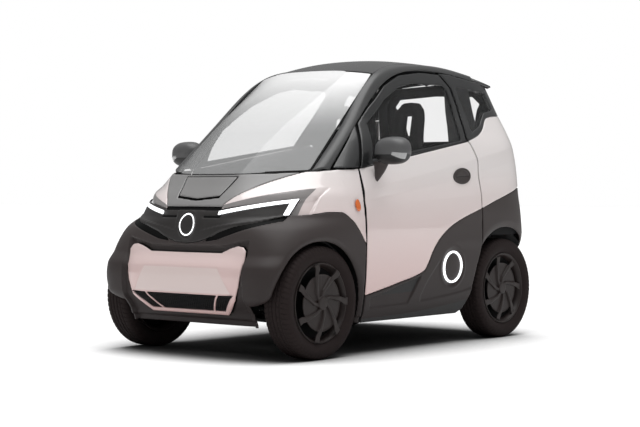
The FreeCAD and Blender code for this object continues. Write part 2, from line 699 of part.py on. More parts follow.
def front_suspension():
    """Cross member, double wishbones, spring struts and the steering rack's tube."""
    low, high = TYRE_R - BALL_LOW, TYRE_R + BALL_HIGH
    member = box(-270, 270, FRONT_AXLE - 45, FRONT_AXLE + 45, 176, 216)
    side = wishbone(low, 236, 190, 104).fuse(wishbone(high, 250, 400, 74))
    pins = rod((KINGPIN_X, FRONT_AXLE, low + 11), (KINGPIN_X, FRONT_AXLE, low + 38), PIN_R)
    pins = pins.fuse(rod((KINGPIN_X, FRONT_AXLE, high - 38), (KINGPIN_X, FRONT_AXLE, high - 11), PIN_R))
    tower = box(222, 262, FRONT_AXLE - 118, FRONT_AXLE + 118, 176, RAIL_Z)
    tower = tower.cut(box(200, 300, FRONT_AXLE - 60, FRONT_AXLE + 60, 216, 385))
    strut = rod((352, FRONT_AXLE, 182), (274, FRONT_AXLE, RAIL_Z - 4), 17)
    coil = rod((340, FRONT_AXLE, 240), (288, FRONT_AXLE, 440), 38)
    pad = rod((368, FRONT_AXLE + 50, 181), (368, FRONT_AXLE - 50, 181), 14)
    cap = box(222, 320, FRONT_AXLE - 45, FRONT_AXLE + 45, RAIL_Z - 10, RAIL_Z)
    side = side.fuse([pins, tower, strut, coil, pad, cap])
    rack = rod((-300, FRONT_AXLE + 92, 244), (300, FRONT_AXLE + 92, 244), 17)
    return member.fuse([side, flip(side), rack]).removeSplitter()


def rear_suspension():
    """Trailing arms joined by a cross beam, with stub axles and spring struts."""
    z = TYRE_R
    arm = bar_x([(500.3, 205), (500.3, 245), (REAR_AXLE - 60, z + 34), (REAR_AXLE + 30, z + 34),
                 (REAR_AXLE + 30, z - 34), (REAR_AXLE - 60, z - 34)], 396, 440)
    stub = rod((420, REAR_AXLE, z), (TRACK_HALF + FACE_REAR - 24, REAR_AXLE, z), STUB_R)
    drum = rod((440, REAR_AXLE, z), (500, REAR_AXLE, z), 96)
    strut = rod((418, REAR_AXLE, z + 20), (380, REAR_AXLE, DECK_Z - 8), 16)
    strut = strut.cut(box(300, 460, REAR_AXLE - 60, REAR_AXLE + 60, DECK_Z - 20, DECK_Z + 20))
    coil = rod((411, REAR_AXLE, z + 70), (388, REAR_AXLE, 500), 34)
    side = arm.fuse([stub, drum, strut, coil])
    beam = rod((-400, 560, 232), (400, 560, 232), 26)
    return beam.fuse([side, flip(side)]).removeSplitter()


# Floor tub: pan, sills, firewall, posts, deck and wheel liners

def section(y, inset, z0, z1, low_x=0.0):
    """Half outline of the hull's inside at a station, right up to its wall."""
    steps = [mix(z0, z1, k / 12) for k in range(13)]
    return [(flank_x(y, z) - inset, z) for z in steps] + [(low_x, z1), (low_x, z0)]


def floor_tub():
    pan = box(-532, 532, POST_Y - 26, 500, FLOOR_Z, FLOOR_Z + FLOOR_T)
    sill = box(478, 532, POST_Y - 26, 430, FLOOR_Z, 300)
    swing = Part.makeCylinder(DOOR_SWING, 200, V(HINGE_X, HINGE_Y, FLOOR_Z - 10))
    pan, sill = pan.cut([swing, flip(swing)]), sill.cut(swing)
    wall = bar_y(section(POST_Y - 28, FRONT_SKIN + 4.0, FLOOR_Z, 836), POST_Y - 26, POST_Y - 6)
    hinge_post = bar_y(section(POST_Y - 28, FRONT_SKIN + 4.0, FLOOR_Z, 905, 500), POST_Y - 26, POST_Y - 6)
    step = box(-430, 430, 470, 500, FLOOR_Z, DECK_Z)
    deck = box(-430, 430, 470, 1030, DECK_Z - 20, DECK_Z)
    y, z, r = ARCH_REAR
    liner = Part.makeCylinder(r - 1, 150, V(416, y, z), V(1, 0, 0))
    liner = liner.cut(Part.makeCylinder(r - 9, 200, V(424, y, z), V(1, 0, 0)))
    liner = liner.common(box(400, 700, 500, 1200, z, 700))
    room = flank_x(1000, 500) - REAR_WALL - 12
    liner = liner.cut(box(400, 426, 620, 884, 200, 546))
    liner = liner.common(box(400, min(566, room), 400, 1048, z, 700))
    y, z, r = ARCH_FRONT
    front = Part.makeCylinder(r + 12, 260, V(310, y, z), V(1, 0, 0))
    front = front.cut(Part.makeCylinder(r + 4, 300, V(300, y, z), V(1, 0, 0)))
    front = front.common(box(310, 560, -1085, POST_Y - 20, 300, 700))
    half = sill.fuse([wall, hinge_post])
    tail = box(-430, 430, 1030, 1058, 250, DECK_Z)
    nose_rail = box(240, 288, -1090, POST_Y - 20, 480, 528)
    beam = box(-400, 400, -1112, -1090, 330, 528)
    half = half.fuse(nose_rail)
    tub = pan.fuse([half, flip(half), step, deck, tail, beam])
    for height in HINGE_Z:
        eye = rod((HINGE_X, HINGE_Y, height - 17), (HINGE_X, HINGE_Y, height + 17), 5.0)
        strap = bar_z([(HINGE_X, HINGE_Y + 3), (548, HINGE_Y + 3), (548, POST_Y - 8), (558, POST_Y - 8),
                       (558, HINGE_Y - 3), (HINGE_X, HINGE_Y - 3)], height - 17, height + 17)
        bore = rod((HINGE_X, HINGE_Y, height - 20), (HINGE_X, HINGE_Y, height + 20), 2.5 + RUNNING)
        strap = strap.fuse(eye).cut(bore)
        tub = tub.fuse([strap, flip(strap)])
    tub = tub.removeSplitter()
    liners = [piece.cut(tub).Solids for piece in (front, liner)]
    largest = [max(solids, key=lambda s: s.Volume) for solids in liners]
    return tub, Part.makeCompound(largest + [flip(s) for s in largest])


def dashboard():
    shape = bar_x([(-860, 890), (-620, 908), (-440, 905), (-398, 870), (-404, 760), (-440, 690),
                   (POST_Y - 6, 690), (POST_Y - 6, 850), (-800, 868)], -520, 520)
    plan = [(0, -860), (160, -846), (310, -780), (400, -700), (455, -600), (490, -500), (500, -480), (500, -380),
            (0, -380)]
    plan += [(-x, y) for x, y in reversed(plan) if x > 0]
    shape = shape.common(bar_z(plan, 600, 1000))
    x, y, z = COLUMN
    rake = math.radians(COLUMN_RAKE)
    back = (x, y - 150 * math.cos(rake), z - 150 * math.sin(rake))
    tube = rod(back, (x, y - 40 * math.cos(rake), z - 40 * math.sin(rake)), 26)
    cluster = box(x - 90, x + 90, -440, -405, 870, 950)
    bore = rod(back, (x, y, z), COLUMN_R + RUNNING)
    return shape.fuse([tube, cluster]).cut(bore).removeSplitter()


def steering_wheel():
    rim = Part.makeTorus(WHEEL_R, 13, V(0, 0, 0), V(0, 0, 1))
    hub = Part.makeCylinder(42, 34, V(0, 0, -18), V(0, 0, 1))
    spokes = [box(-15, 15, 0, WHEEL_R, -7, 7), box(0, WHEEL_R, -15, 15, -7, 7)]
    spokes.append(box(-WHEEL_R, 0, -15, 15, -7, 7))
    boss = Part.makeCylinder(18, 24, V(0, 0, -38), V(0, 0, 1))
    boss = boss.fuse(Part.makeCylinder(COLUMN_R, 50, V(0, 0, -80), V(0, 0, 1)))
    whole_wheel = rim.fuse([hub, boss] + spokes)
    whole_wheel.rotate(V(0, 0, 0), V(1, 0, 0), -(90 - COLUMN_RAKE))
    whole_wheel.translate(V(*COLUMN))
    return whole_wheel


def seat(side):
    """Cushion and back with the head rest in one, and its slot."""
    base = box(-215, 215, -250, 240, FLOOR_Z + FLOOR_T, 330)
    cushion = box(-225, 225, -262, 230, 330, 450)
    cushion = rounded(cushion, 30, lambda e: e.Length > 100 and e.BoundBox.ZMax > 440)
    back = bar_x([(170, 400), (250, 400), (420, 1010), (340, 1010)], -220, 220)
    back = rounded(back, 24, lambda e: e.Length > 500)
    head = bar_x([(345, 1000), (415, 1000), (455, 1240), (395, 1240)], -120, 120)
    head = rounded(head, 20, lambda e: e.Length > 200 and e.BoundBox.XLength < 50)
    slot = bar_x([(300, 1095), (500, 1095), (500, 1175), (300, 1175)], -30, 30)
    whole_seat = base.fuse([cushion, back, head]).cut(slot).removeSplitter()
    whole_seat.translate(V(side * SEAT_X, 0, 0))
    return whole_seat


def battery_packs():
    pack = box(60, 420, -440, -280, FLOOR_Z + FLOOR_T, 330)
    return both(pack)


def drive_unit():
    z = TYRE_R
    motor = rod((-150, REAR_AXLE, z), (150, REAR_AXLE, z), 100)
    gearbox = box(-60, 60, REAR_AXLE - 130, REAR_AXLE + 90, z - 90, z + 90)
    shafts = rod((-396, REAR_AXLE, z), (396, REAR_AXLE, z), 14)
    hanger = box(-40, 40, REAR_AXLE - 40, REAR_AXLE + 40, z + 80, DECK_Z - 20)
    return motor.fuse([gearbox, shafts, hanger]).removeSplitter()


def bonnet_parts(skin):
    """The lid is cut out of the bonnet's skin, with a gap all round."""
    (x0, z0), (x1, z1) = LID
    line = [(-x0, z0), (0, z0 - LID_DIP), (x0, z0), (x1, z1), (-x1, z1)]
    wire = Part.makePolygon([V(x, -1300, z) for x, z in line + [line[0]]])
    hole = Part.Face(wire).extrude(V(0, 700, 0))
    dropped = hole.copy()
    dropped.translate(V(0, 0, -LID_SLOT))
    hole = hole.fuse(dropped)
    lid_room = Part.Face(wire.makeOffset2D(-5.5)).extrude(V(0, 700, 0))
    bonnet, lid = skin.cut(hole), skin.common(lid_room)
    slope = (0.615, 0.788)
    for x in (-LID_HINGE_X, LID_HINGE_X):
        bonnet, lid = barrel_hinge(bonnet, lid, LID_AXIS, x, slope, (-slope[0], -slope[1]))
    return bonnet, lid


def barrel_hinge(fixed, moving, axis, x, fixed_way, moving_way):
    """A small barrel hinge, let into the edges of the two panels that it joins."""
    y, z = axis
    pocket = rod((x - 17, y, z), (x + 17, y, z), BARREL_R + 1.5)
    fixed, moving = fixed.cut(pocket), moving.cut(pocket)
    for x0, x1 in ((x - 16.5, x - 9), (x + 9, x + 16.5)):
        fixed = fixed.fuse(rod((x0, y, z), (x1, y, z), BARREL_R)).fuse(leaf(axis, fixed_way, x0, x1))
    eye = rod((x - 8, y, z), (x + 8, y, z), BARREL_R).fuse(leaf(axis, moving_way, x - 8, x + 8))
    moving = moving.fuse(eye).cut(rod((x - 9, y, z), (x + 9, y, z), HINGE_PIN_R + RUNNING))
    return fixed.fuse(rod((x - 16, y, z), (x + 16, y, z), HINGE_PIN_R)), moving


def leaf(axis, way, x0, x1, length=11.0, half=2.0):
    """Flat leaf of a hinge, from its axis along a direction in side view."""
    y, z = axis
    ny, nz = way[1] * half, -way[0] * half
    ey, ez = y + way[0] * length, z + way[1] * length
    return bar_x([(y + ny, z + nz), (ey + ny, ez + nz), (ey - ny, ez - nz), (y - ny, z - nz)], x0, x1)


def tail_lamp():
    """An upright lens on the rear corner, seated in the quarter's skin."""
    angles = [37, 39, 41, 43, 45, 47, 49, 51]
    grid = [[tail_point(a, z, -9.0) for a in angles] for z in range(850, 1011, 16)]
    return slab(grid, 24).cut(rear_shell())


def headlamp():
    """L-shaped light bar under the wing's front edge, on the lamp band."""
    line = [(189, 703), (489, 762), (484, 703), (503, 703), (511, 783), (189, 722)]
    angles = range(36, 92, 4)
    grid = [[nose_point(a, z, -7.0) for a in angles] for z in range(690, 800, 11)]
    return slab(grid, 12).common(bar_y(line, -1300, -600)).cut(front_shell())


def roundel():
    """Plain ring with a blank disc, in the middle of the lamp band."""
    disc = Part.makeCylinder(55, 300, V(0, -1200, 655), V(0, 1, 0))
    grid = [[nose_point(a, z, -10.0) for a in range(70, 111, 5)] for z in range(590, 730, 13)]
    return slab(grid, 12).common(disc).cut(front_shell())


def indicator():
    shape = Part.Face(Part.Wire([Part.Ellipse(V(0, 0, 0), 31, 19).toShape()])).extrude(V(0, 0, 60))
    shape.rotate(V(0, 0, 0), V(0, 1, 0), 90)
    shape.translate(V(590, -536, 752))
    return shape.common(wing_skin(-8, 7.7))


def wing_skin(inset, thick):
    grid = [[V(flank_x(y, z) - inset, y, z) for y in range(-600, -470, 20)] for z in range(690, 820, 20)]
    return slab(grid, thick)


def main():
    shells, nose = front_panels()
    hole = bar_y(grille_hole(), -1300, -900)
    save("lower_grille", grille_mesh())
    screws = [rod((x, -1300, 385), (x, -900, 385), 3) for x in (-100, 100)]
    save("nose_panel", nose.cut([hole] + screws).fuse(slant_bars()))
    save("front_bumper", near(shells, (0, -1124, 570 - 12)))
    save("lamp_band", wedge_band(near(shells, (0, -1110, 660))))
    wing = near(shells, (600, -520, 800))
    save("wings", both(wing))
    bonnet_skin = near(shells, (0, -1000, 830))
    bonnet, lid = bonnet_parts(bonnet_skin)
    save("bonnet", bonnet)
    save("bonnet_lid", lid)

    top = roof()
    base = bar_x(below([(y, z + 0.5) for y, z in SCREEN_LINE], 500), 200, 800)
    frame = side_frame().cut([door_outline(SHUT), top, base])
    save("side_frames", both(frame))
    save("windscreen", windscreen().cut([frame, flip(frame), top, bonnet_skin, wing, flip(wing)]))

    shells, gate = rear_panels()
    save("rear_bumper", near(shells, (0, 1105, 500)))
    save("quarter_panels", both(near(shells, (590, 700, 900))))
    hood = near(shells, (460, 700, 1320))
    glass_room = bar_x(QUARTER_GLASS, 300, 800)
    rails_up = bar_x(above(RAIL_LINE, 1700), 300, 800)
    hood = hood.cut([glass_room, rails_up, frame, top] + spoiler_room())
    save("rear_pillars", both(near(hood, (470, 640, 1300))))
    pane = slab([[tail_point(a, z, 8.0) for a in range(0, 80, 8)] for z in range(1100, 1441, 34)], GLASS)
    pane = pane.common(glass_room)
    corner = [(-622, 938), (-484, 944), (-392, 1158), (-380, 1175)]
    triangle = frame_slab(2, GLASS, (-660, -600, -540, -480, -420, -360))
    triangle = triangle.common(bar_x(corner, 300, 800)).cut(frame)
    save("fixed_glass", Part.makeCompound([pane, flip(pane), triangle, flip(triangle)]))
    window = bar_y(TAIL_WINDOW + [(-x, z) for x, z in reversed(TAIL_WINDOW) if x > 0], 600, 1300)
    gate = gate.cut(window).fuse(spoiler()).removeSplitter()
    panel_top = top
    for x in (-GATE_HINGE_X, GATE_HINGE_X):
        panel_top, gate = barrel_hinge(panel_top, gate, GATE_AXIS, x, (-0.93, -0.37), (0.85, -0.53))
    save("roof", panel_top)
    save("tailgate", gate)
    rear_grid = [[tail_point(a, z, 8.0) for a in range(50, 131, 10)] for z in range(1100, 1421, 32)]
    save("tailgate_glass", slab(rear_grid, GLASS).common(window))

    shell, skin, pane = door()
    parts = {"door_shell": shell, "door_skin": skin, "door_glass": pane, "door_handle": handle(),
             "mirror": mirror()}
    for name, piece in parts.items():
        save(name + "_left", piece)
        save(name + "_right", flip(piece))

    save("headlamps", Part.makeCompound([headlamp(), flip(headlamp()), roundel()]))
    save("tail_lamps", both(tail_lamp()))
    save("wing_indicators", both(indicator()))

    tub, liners = floor_tub()
    save("floor_tub", tub)
    save("wheel_liners", liners)
    save("dashboard", dashboard())
    save("steering_wheel", steering_wheel())
    save("seats", Part.makeCompound([seat(1), seat(-1)]))
    save("battery_packs", battery_packs())
    save("drive_unit", drive_unit())
    save("front_suspension", front_suspension())
    save("rear_suspension", rear_suspension())
    save("knuckle_left", knuckle())
    save("knuckle_right", flip(knuckle()))
    for name, axle, side in (("front_left", FRONT_AXLE, 1), ("front_right", FRONT_AXLE, -1),
                             ("rear_left", REAR_AXLE, 1), ("rear_right", REAR_AXLE, -1)):
        save("tyre_" + name, at_wheel(tyre, axle, side))
        cover = (FACE_FRONT, REACH_FRONT) if axle == FRONT_AXLE else (FACE_REAR, REACH_REAR)
        save("wheel_" + name, at_wheel(wheel, axle, side, *cover))


main()
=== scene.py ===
"""Looks of a two-seat battery microcar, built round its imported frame.

+X is the car's left, +Y its rear, +Z up, in metres. Stations are measured from the middle of the
wheelbase, as in the drawings of the body, and BACK moves them into the frame.
"""

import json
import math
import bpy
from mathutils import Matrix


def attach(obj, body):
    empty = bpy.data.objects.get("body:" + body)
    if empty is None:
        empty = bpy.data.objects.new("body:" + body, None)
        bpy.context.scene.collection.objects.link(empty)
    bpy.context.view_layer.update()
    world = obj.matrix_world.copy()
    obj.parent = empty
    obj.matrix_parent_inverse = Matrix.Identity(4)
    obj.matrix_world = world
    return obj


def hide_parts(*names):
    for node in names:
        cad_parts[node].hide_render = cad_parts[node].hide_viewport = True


bl_info = {
    "name": "Two-seat microcar",
    "version": (1, 0, 0),
    "blender": (4, 5, 0),
    "location": "View3D > Sidebar > Microcar",
    "description": "Body panels, glass, wheels, seats and lamps of a small battery car",
    "category": "Add Mesh",
}

import bpy
import numpy as np
from bpy.props import FloatProperty, FloatVectorProperty, IntProperty, PointerProperty
from mathutils import Matrix, Vector

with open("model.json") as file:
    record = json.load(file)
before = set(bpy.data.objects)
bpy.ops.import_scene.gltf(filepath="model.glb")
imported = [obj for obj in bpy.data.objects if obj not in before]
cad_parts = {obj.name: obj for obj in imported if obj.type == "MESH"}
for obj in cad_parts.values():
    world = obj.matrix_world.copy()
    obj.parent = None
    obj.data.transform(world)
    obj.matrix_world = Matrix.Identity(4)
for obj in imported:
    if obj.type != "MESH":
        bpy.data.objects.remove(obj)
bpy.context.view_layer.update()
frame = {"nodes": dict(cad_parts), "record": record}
SIDES = (("left", 1.0), ("right", -1.0))

BACK = 0.030              # from the middle of the wheelbase to the frame's origin
STEP = 0.0055             # spacing of the grids that the panels are cut from
WALL = 0.0035
ROLL = 0.0028             # radius that a panel's edge is rolled over
SEAM = 0.0016
SHUT = .0075              # gap round a door and the tailgate
POST_REAR_Y = .478        # front border of the body's rear sides
BEHIND_Y = .7             # what lies on the tail is behind this
FRAME_WALL = .020         # thickness of frames, pillars and the tailgate
HEART = (0, 0, .6)        # points that the faces of a panel look away from
CABIN_HEART = (0, .3, .9)
DOOR_HEART = (0, 0, .9)
ROUND = np.linspace(0, 2 * np.pi, 97)[:-1]      # even angles of a lamp ring

# Half width, nose and tail of the body by height, and how square the corners are in plan
HALF = ((.158, .594), (.215, .608), (.300, .621), (.430, .632), (.560, .635), (.700, .629), (.780, .620),
        (.860, .611), (.940, .600), (1.072, .575), (1.160, .540), (1.258, .493), (1.350, .455),
        (1.446, .416), (1.500, .392))
NOSE = ((.158, -1.078), (.215, -1.094), (.317, -1.163), (.400, -1.170), (.449, -1.166), (.520, -1.128),
        (.565, -1.122), (.656, -1.112), (.710, -1.095), (.750, -1.074), (.790, -1.040), (.850, -.985),
        (.940, -.915))
NOSE_POWER = ((.158, 9), (.215, 10), (.300, 10), (.430, 9), (.520, 7.5), (.565, 6.3), (.632, 4.6),
              (.700, 3.0), (.750, 2.9), (.790, 2.9), (.850, 2.5), (.940, 2.15))
NOSE_FROM = -.300
TAIL = ((.158, 1.060), (.300, 1.100), (.430, 1.110), (.560, 1.110), (.700, 1.102), (.830, 1.092),
        (.960, 1.096), (1.072, 1.090), (1.160, 1.074), (1.258, 1.048), (1.350, 1.022), (1.446, .995))
TAIL_POWER = 8.0
TAIL_FROM = .350

# Seams: from the front as (across, height), from the side as (station, height)
WING_EDGE = ((.183, .734), (.205, .768), (.250, .808), (.330, .858), (.400, .892), (.480, .930))
BAND_TOP = ((0, .746), (.187, .746), (.191, .738), (.300, .757), (.520, .786))
BAND_LOW = ((0, .565), (.080, .573), (.300, .636), (.500, .702), (.545, .709))
BAND_END = ((.503, .692), (.516, .788))
TIP_GAP = ((-.187, .730), (.187, .730), (.187, .760), (-.187, .760))
WING_CREASE = ((.188, .752), (.250, .770), (.364, .800), (.500, .832), (.560, .842))
WEDGE = [(.118, .574), (.200, .622), (.300, .655), (.500, .700), (.500, .680), (.300, .616), (.200, .585)]
LEDGE = ((0, .606), (.064, .622), (.200, .650), (.300, .668), (.400, .685), (.500, .703), (.560, .712))
OVERHANG = ((0, .556), (.240, .557), (.330, .574), (.402, .590), (.700, .640))
ARCH_TOP = ((-.990, .698), (-.890, .706), (-.800, .712), (-.720, .720), (-.645, .718), (-.585, .684),
            (-.530, .625), (-.470, .543))
NOSE_PANEL = ((0, .521), (.240, .522), (.300, .546), (.345, .558), (.380, .552), (.398, .532), (.398, .500),
              (.392, .440), (.378, .364), (.352, .290), (.300, .244), (.260, .213), (0, .213))
NOSE_SIDES = .020         # how far the nose panel curves back towards its sides
GRILLE = ((.338, .314), (.250, .236))
LID = ((.142, .797), (.178, .897))
LID_DIP = .014
LID_SLOT = .008
SCREEN_LINE = ((-1.300, .883), (-.936, .9065), (-.719, .9205), (-.642, .928), (-.460, .937))
POST_Y = -.4815
ARCH_FRONT = (-.820, .272, .306)
ARCH_REAR = (.812, .287, .335)
DOOR = ((-.474, .158), (-.474, .934), (-.372, 1.172), (-.268, 1.255), (-.078, 1.380), (.082, 1.444),
        (.285, 1.472), (.470, 1.470), (.534, 1.400), (.540, 1.290), (.513, 1.112), (.545, 1.045),
        (.565, .985), (.563, .724), (.560, .555), (.556, .500), (.522, .420), (.498, .340),
        (.470, .240), (.425, .180), (.372, .158))
BELT = ((-.600, .920), (-.474, .938), (.513, 1.097), (.700, 1.128))
CLAD_LINE = ((-.474, .298), (-.230, .345), (.020, .405), (.052, .440), (.100, .512), (.170, .580),
             (.275, .640), (.400, .684), (.562, .728))
CLAD_REAR = ((.520, .714), (.562, .728), (.909, .824), (1.010, .846), (1.200, .850))
KICK_UP = ((.380, 1.062), (.520, 1.100), (.640, 1.135), (.700, 1.165), (.804, 1.240), (.900, 1.252),
           (1.100, 1.258))
CREASES = (((-.469, .823), (.521, .997), .0095, .120, .080), ((-.465, .739), (.540, .805), .0070, .080, .200))


# Numbers into surfaces

def curve(rows, at):
    """Value at each place from rows of (place, value): cubic pieces with the harmonic mean of the
    neighbouring slopes at each row, so that nothing overshoots."""
    x, v = np.array(rows, float).T
    slope = np.diff(v) / np.diff(x)
    one, two = slope[:-1], slope[1:]
    same = one * two > 0
    inner = np.where(same, 2 * one * two / np.where(same, one + two, 1.0), 0.0)
    bend = np.concatenate([slope[:1], inner, slope[-1:]])
    at = np.clip(at, x[0], x[-1])
    k = np.clip(np.searchsorted(x, at, side="right") - 1, 0, len(x) - 2)
    h = x[k + 1] - x[k]
    t = (at - x[k]) / h
    return (v[k] * (1 + 2 * t) * (1 - t) ** 2 + h * bend[k] * t * (1 - t) ** 2
            + v[k + 1] * t * t * (3 - 2 * t) + h * bend[k + 1] * t * t * (t - 1))


def straight(rows, at):
    """Value at each place from rows of (place, value), in straight lines."""
    x, v = np.array(rows, float).T
    return np.interp(at, x, v)


def smooth_step(low, high, value):
    """0 below low, 1 above high, and 3t^2 - 2t^3 between."""
    t = np.clip((value - low) / (high - low), 0, 1)
    return t * t * (3 - 2 * t)


def spline(points, count):
    """Points along a smooth curve through key points: natural cubic pieces over the chord length,
    whose second derivatives come from one tridiagonal system."""
    p = np.array(points, float)
    s = np.concatenate([[0], np.cumsum(np.linalg.norm(np.diff(p, axis=0), axis=-1))])
    return spline_at(s / s[-1], p, np.linspace(0, 1, count))


def spline_at(s, p, t):
    """Natural cubic spline through p (first axis) at knots s, read at t."""
    n, h = len(s), np.diff(s)
    a = np.eye(n)
    rows = np.arange(1, n - 1)
    a[rows, rows - 1], a[rows, rows], a[rows, rows + 1] = h[:-1], 2 * (h[:-1] + h[1:]), h[1:]
    flat = p.reshape(n, -1)
    rise = np.diff(flat, axis=0) / h[:, None]
    right = np.zeros_like(flat)
    right[1:-1] = 6 * np.diff(rise, axis=0)
    m = np.linalg.solve(a, right)
    k = np.clip(np.searchsorted(s, t, side="right") - 1, 0, n - 2)
    u, w = (t - s[k])[:, None], (s[k + 1] - t)[:, None]
    hk = h[k][:, None]
    value = (m[k] * w ** 3 + m[k + 1] * u ** 3) / (6 * hk)
    value += (flat[k] / hk - m[k] * hk / 6) * w + (flat[k + 1] / hk - m[k + 1] * hk / 6) * u
    return value.reshape((len(t),) + p.shape[1:])


def loft(rails, rows, cols):
    """Surface through rails: each rail is a smooth curve of cols points, and smooth curves cross them."""
    grid = np.array([spline(rail, cols) for rail in rails])
    steps = np.linalg.norm(np.diff(grid, axis=0), axis=-1).mean(axis=1)
    s = np.concatenate([[0], np.cumsum(steps)])
    return spline_at(s / s[-1], grid, np.linspace(0, 1, rows))


def whole(points):
    """Key points of the left half, from the middle out, made into a whole-width list."""
    return [(-x, y, z) for x, y, z in reversed(points) if x > 0] + list(points)


def half_width(y, z):
    """Half width of the body at stations and heights: flat along the sides, and a superellipse in
    plan round the nose and the tail."""
    a = curve(HALF, z)
    ahead = np.clip((NOSE_FROM - y) / (NOSE_FROM - curve(NOSE, z)), 0, 1)
    power = curve(NOSE_POWER, z)
    behind = np.clip((y - TAIL_FROM) / (curve(TAIL, z) - TAIL_FROM), 0, 1)
    return a * (1 - ahead ** power) ** (1 / power) * (1 - behind ** TAIL_POWER) ** (1 / TAIL_POWER)


def line_height(line, y):
    (y0, z0), (y1, z1) = line
    return z0 + (z1 - z0) * (y - y0) / (y1 - y0)


def creased(y, z):
    """Outward lift of the flanks: a tent along each crease, highest on the line and straight down to
    nothing at the given distance above and below it, fading out ahead of the door and at the tail."""
    lift = np.zeros_like(z)
    for start, end, height, up, down in CREASES:
        h = z - line_height((start, end), y)
        tent = np.where(h > 0, 1 - h / up, 1 + h / down)
        lift = np.maximum(lift, height * np.clip(tent, 0, 1))
    fade = smooth_step(-.80, -.52, y) * (1 - smooth_step(.80, 1.02, y))
    return lift * fade


def superellipse(angle, power):
    """Cosine, sine and radius of |x|^p + |y|^p = 1 at angles."""
    c, s = np.abs(np.cos(angle)), np.abs(np.sin(angle))
    return c, s, (c ** power + s ** power) ** (-1 / power)


def nose_outline(angle, z, inset=0.0):
    """Superellipse |x/a|^p + |y/b|^p = 1 round the nose, with a, b and p by height."""
    a, b = curve(HALF, z) - inset, NOSE_FROM - curve(NOSE, z) - inset
    c, s, r = superellipse(angle, curve(NOSE_POWER, z))
    return np.stack([np.sign(np.cos(angle)) * a * r * c, NOSE_FROM - b * r * s, z], axis=-1)


def tail_outline(angle, z, inset=0.0):
    a, b = curve(HALF, z) - inset, curve(TAIL, z) - TAIL_FROM - inset
    c, s, r = superellipse(angle, TAIL_POWER)
    return np.stack([np.sign(np.cos(angle)) * a * r * c, TAIL_FROM + b * r * s, z], axis=-1)


def hull_grid(outline, even_z, z0, z1, step, inset):
    """Half of the hull: rows of equal height, and angles 0 to 180 degrees round its end, spaced evenly
    along its outline at one height."""
    fine = np.radians(np.linspace(0, 180, 1441))
    line = outline(fine, np.full_like(fine, even_z), inset)
    run = np.concatenate([[0], np.cumsum(np.linalg.norm(np.diff(line, axis=0), axis=1))])
    angles = np.interp(np.linspace(0, run[-1], int(run[-1] / step)), run, fine)
    z, angle = np.meshgrid(spaced(z0, z1, step), angles, indexing="ij")
    return outline(angle, z, inset), angle, z


def nose_grid(z0, z1, step=STEP, inset=0.0):
    return hull_grid(nose_outline, .45, z0, z1, step, inset)[0]


def tail_grid(z0, z1, step=STEP, inset=0.0):
    grid, angle, z = hull_grid(tail_outline, .9, z0, z1, step, inset)
    grid[..., 0] += np.sign(grid[..., 0]) * creased(grid[..., 1], z) * (np.abs(np.cos(angle)) > .5)
    return grid


def spaced(low, high, step):
    return np.linspace(low, high, max(4, int((high - low) / step)))


def flank_grid(y0, y1, z0, z1, step=STEP):
    """The left flank as a graph over stations and heights."""
    z, y = np.meshgrid(spaced(z0, z1, step), spaced(y0, y1, step), indexing="ij")
    return np.stack([half_width(y, z) + creased(y, z), y, z], axis=-1)


def normals(grid, middle=HEART):
    """Unit normals: the cross product of the two directions of the grid, turned away from the middle."""
    n = np.cross(np.gradient(grid, axis=0), np.gradient(grid, axis=1))
    n /= np.maximum(np.linalg.norm(n, axis=-1, keepdims=True), 1e-12)
    away = np.sum(n * (grid - np.array(middle)), axis=-1, keepdims=True)
    return np.where(away < 0, -n, n)


def sided(grid, s):
    """The grid on its own side of the car: as it is for 1, and mirrored for -1."""
    return grid * np.array([s, 1, 1])


def pushed(grid, out, middle=HEART):
    """The grid moved outwards along its normals."""
    return grid + normals(grid, middle) * (out[..., None] if np.ndim(out) else out)


# Distances to outlines, positive inside

def to_polygon(a, b, points):
    """Signed distance in a plane: the least distance to the edges, positive where a ray to the side
    crosses the outline an odd number of times."""
    p = np.array(points, float)
    q = np.roll(p, -1, axis=0)
    nearest = np.full(a.shape, 1e9)
    inside = np.zeros(a.shape, bool)
    for (x0, y0), (x1, y1) in zip(p, q):
        dx, dy = x1 - x0, y1 - y0
        t = np.clip(((a - x0) * dx + (b - y0) * dy) / max(dx * dx + dy * dy, 1e-18), 0, 1)
        nearest = np.minimum(nearest, np.hypot(a - x0 - t * dx, b - y0 - t * dy))
        if y0 != y1:
            inside ^= ((y0 > b) != (y1 > b)) & (a < x0 + (b - y0) * dx / dy)
    return np.where(inside, nearest, -nearest)


def least(*distances):
    """What lies inside all the outlines."""
    return np.minimum.reduce(distances)


def cut(*distances):
    """What lies inside all the outlines, with a seam left along each."""
    return least(*distances) - SEAM / 2


def only(where, distance):
    """The distance where a test holds, and outside elsewhere."""
    return np.where(where, distance, -1)


def mirrored(points):
    """A half outline, from the middle out and back to it, made whole."""
    return list(points) + [(-x, z) for x, z in reversed(points) if x > 0]


def over_line(line, a, b, smooth=True):
    """Distance above a line, positive above it, measured square to its slope."""
    height = (curve if smooth else straight)(line, a)
    slope = ((curve if smooth else straight)(line, a + 1e-4) - height) / 1e-4
    return (b - height) / np.sqrt(1 + slope ** 2)


def outside_arch(circle, y, z):
    """Distance outside a wheel arch: a circle whose lower half runs straight down."""
    y0, z0, r = circle
    return np.where(z > z0, np.hypot(y - y0, z - z0), np.abs(y - y0)) - r


# Grids into objects

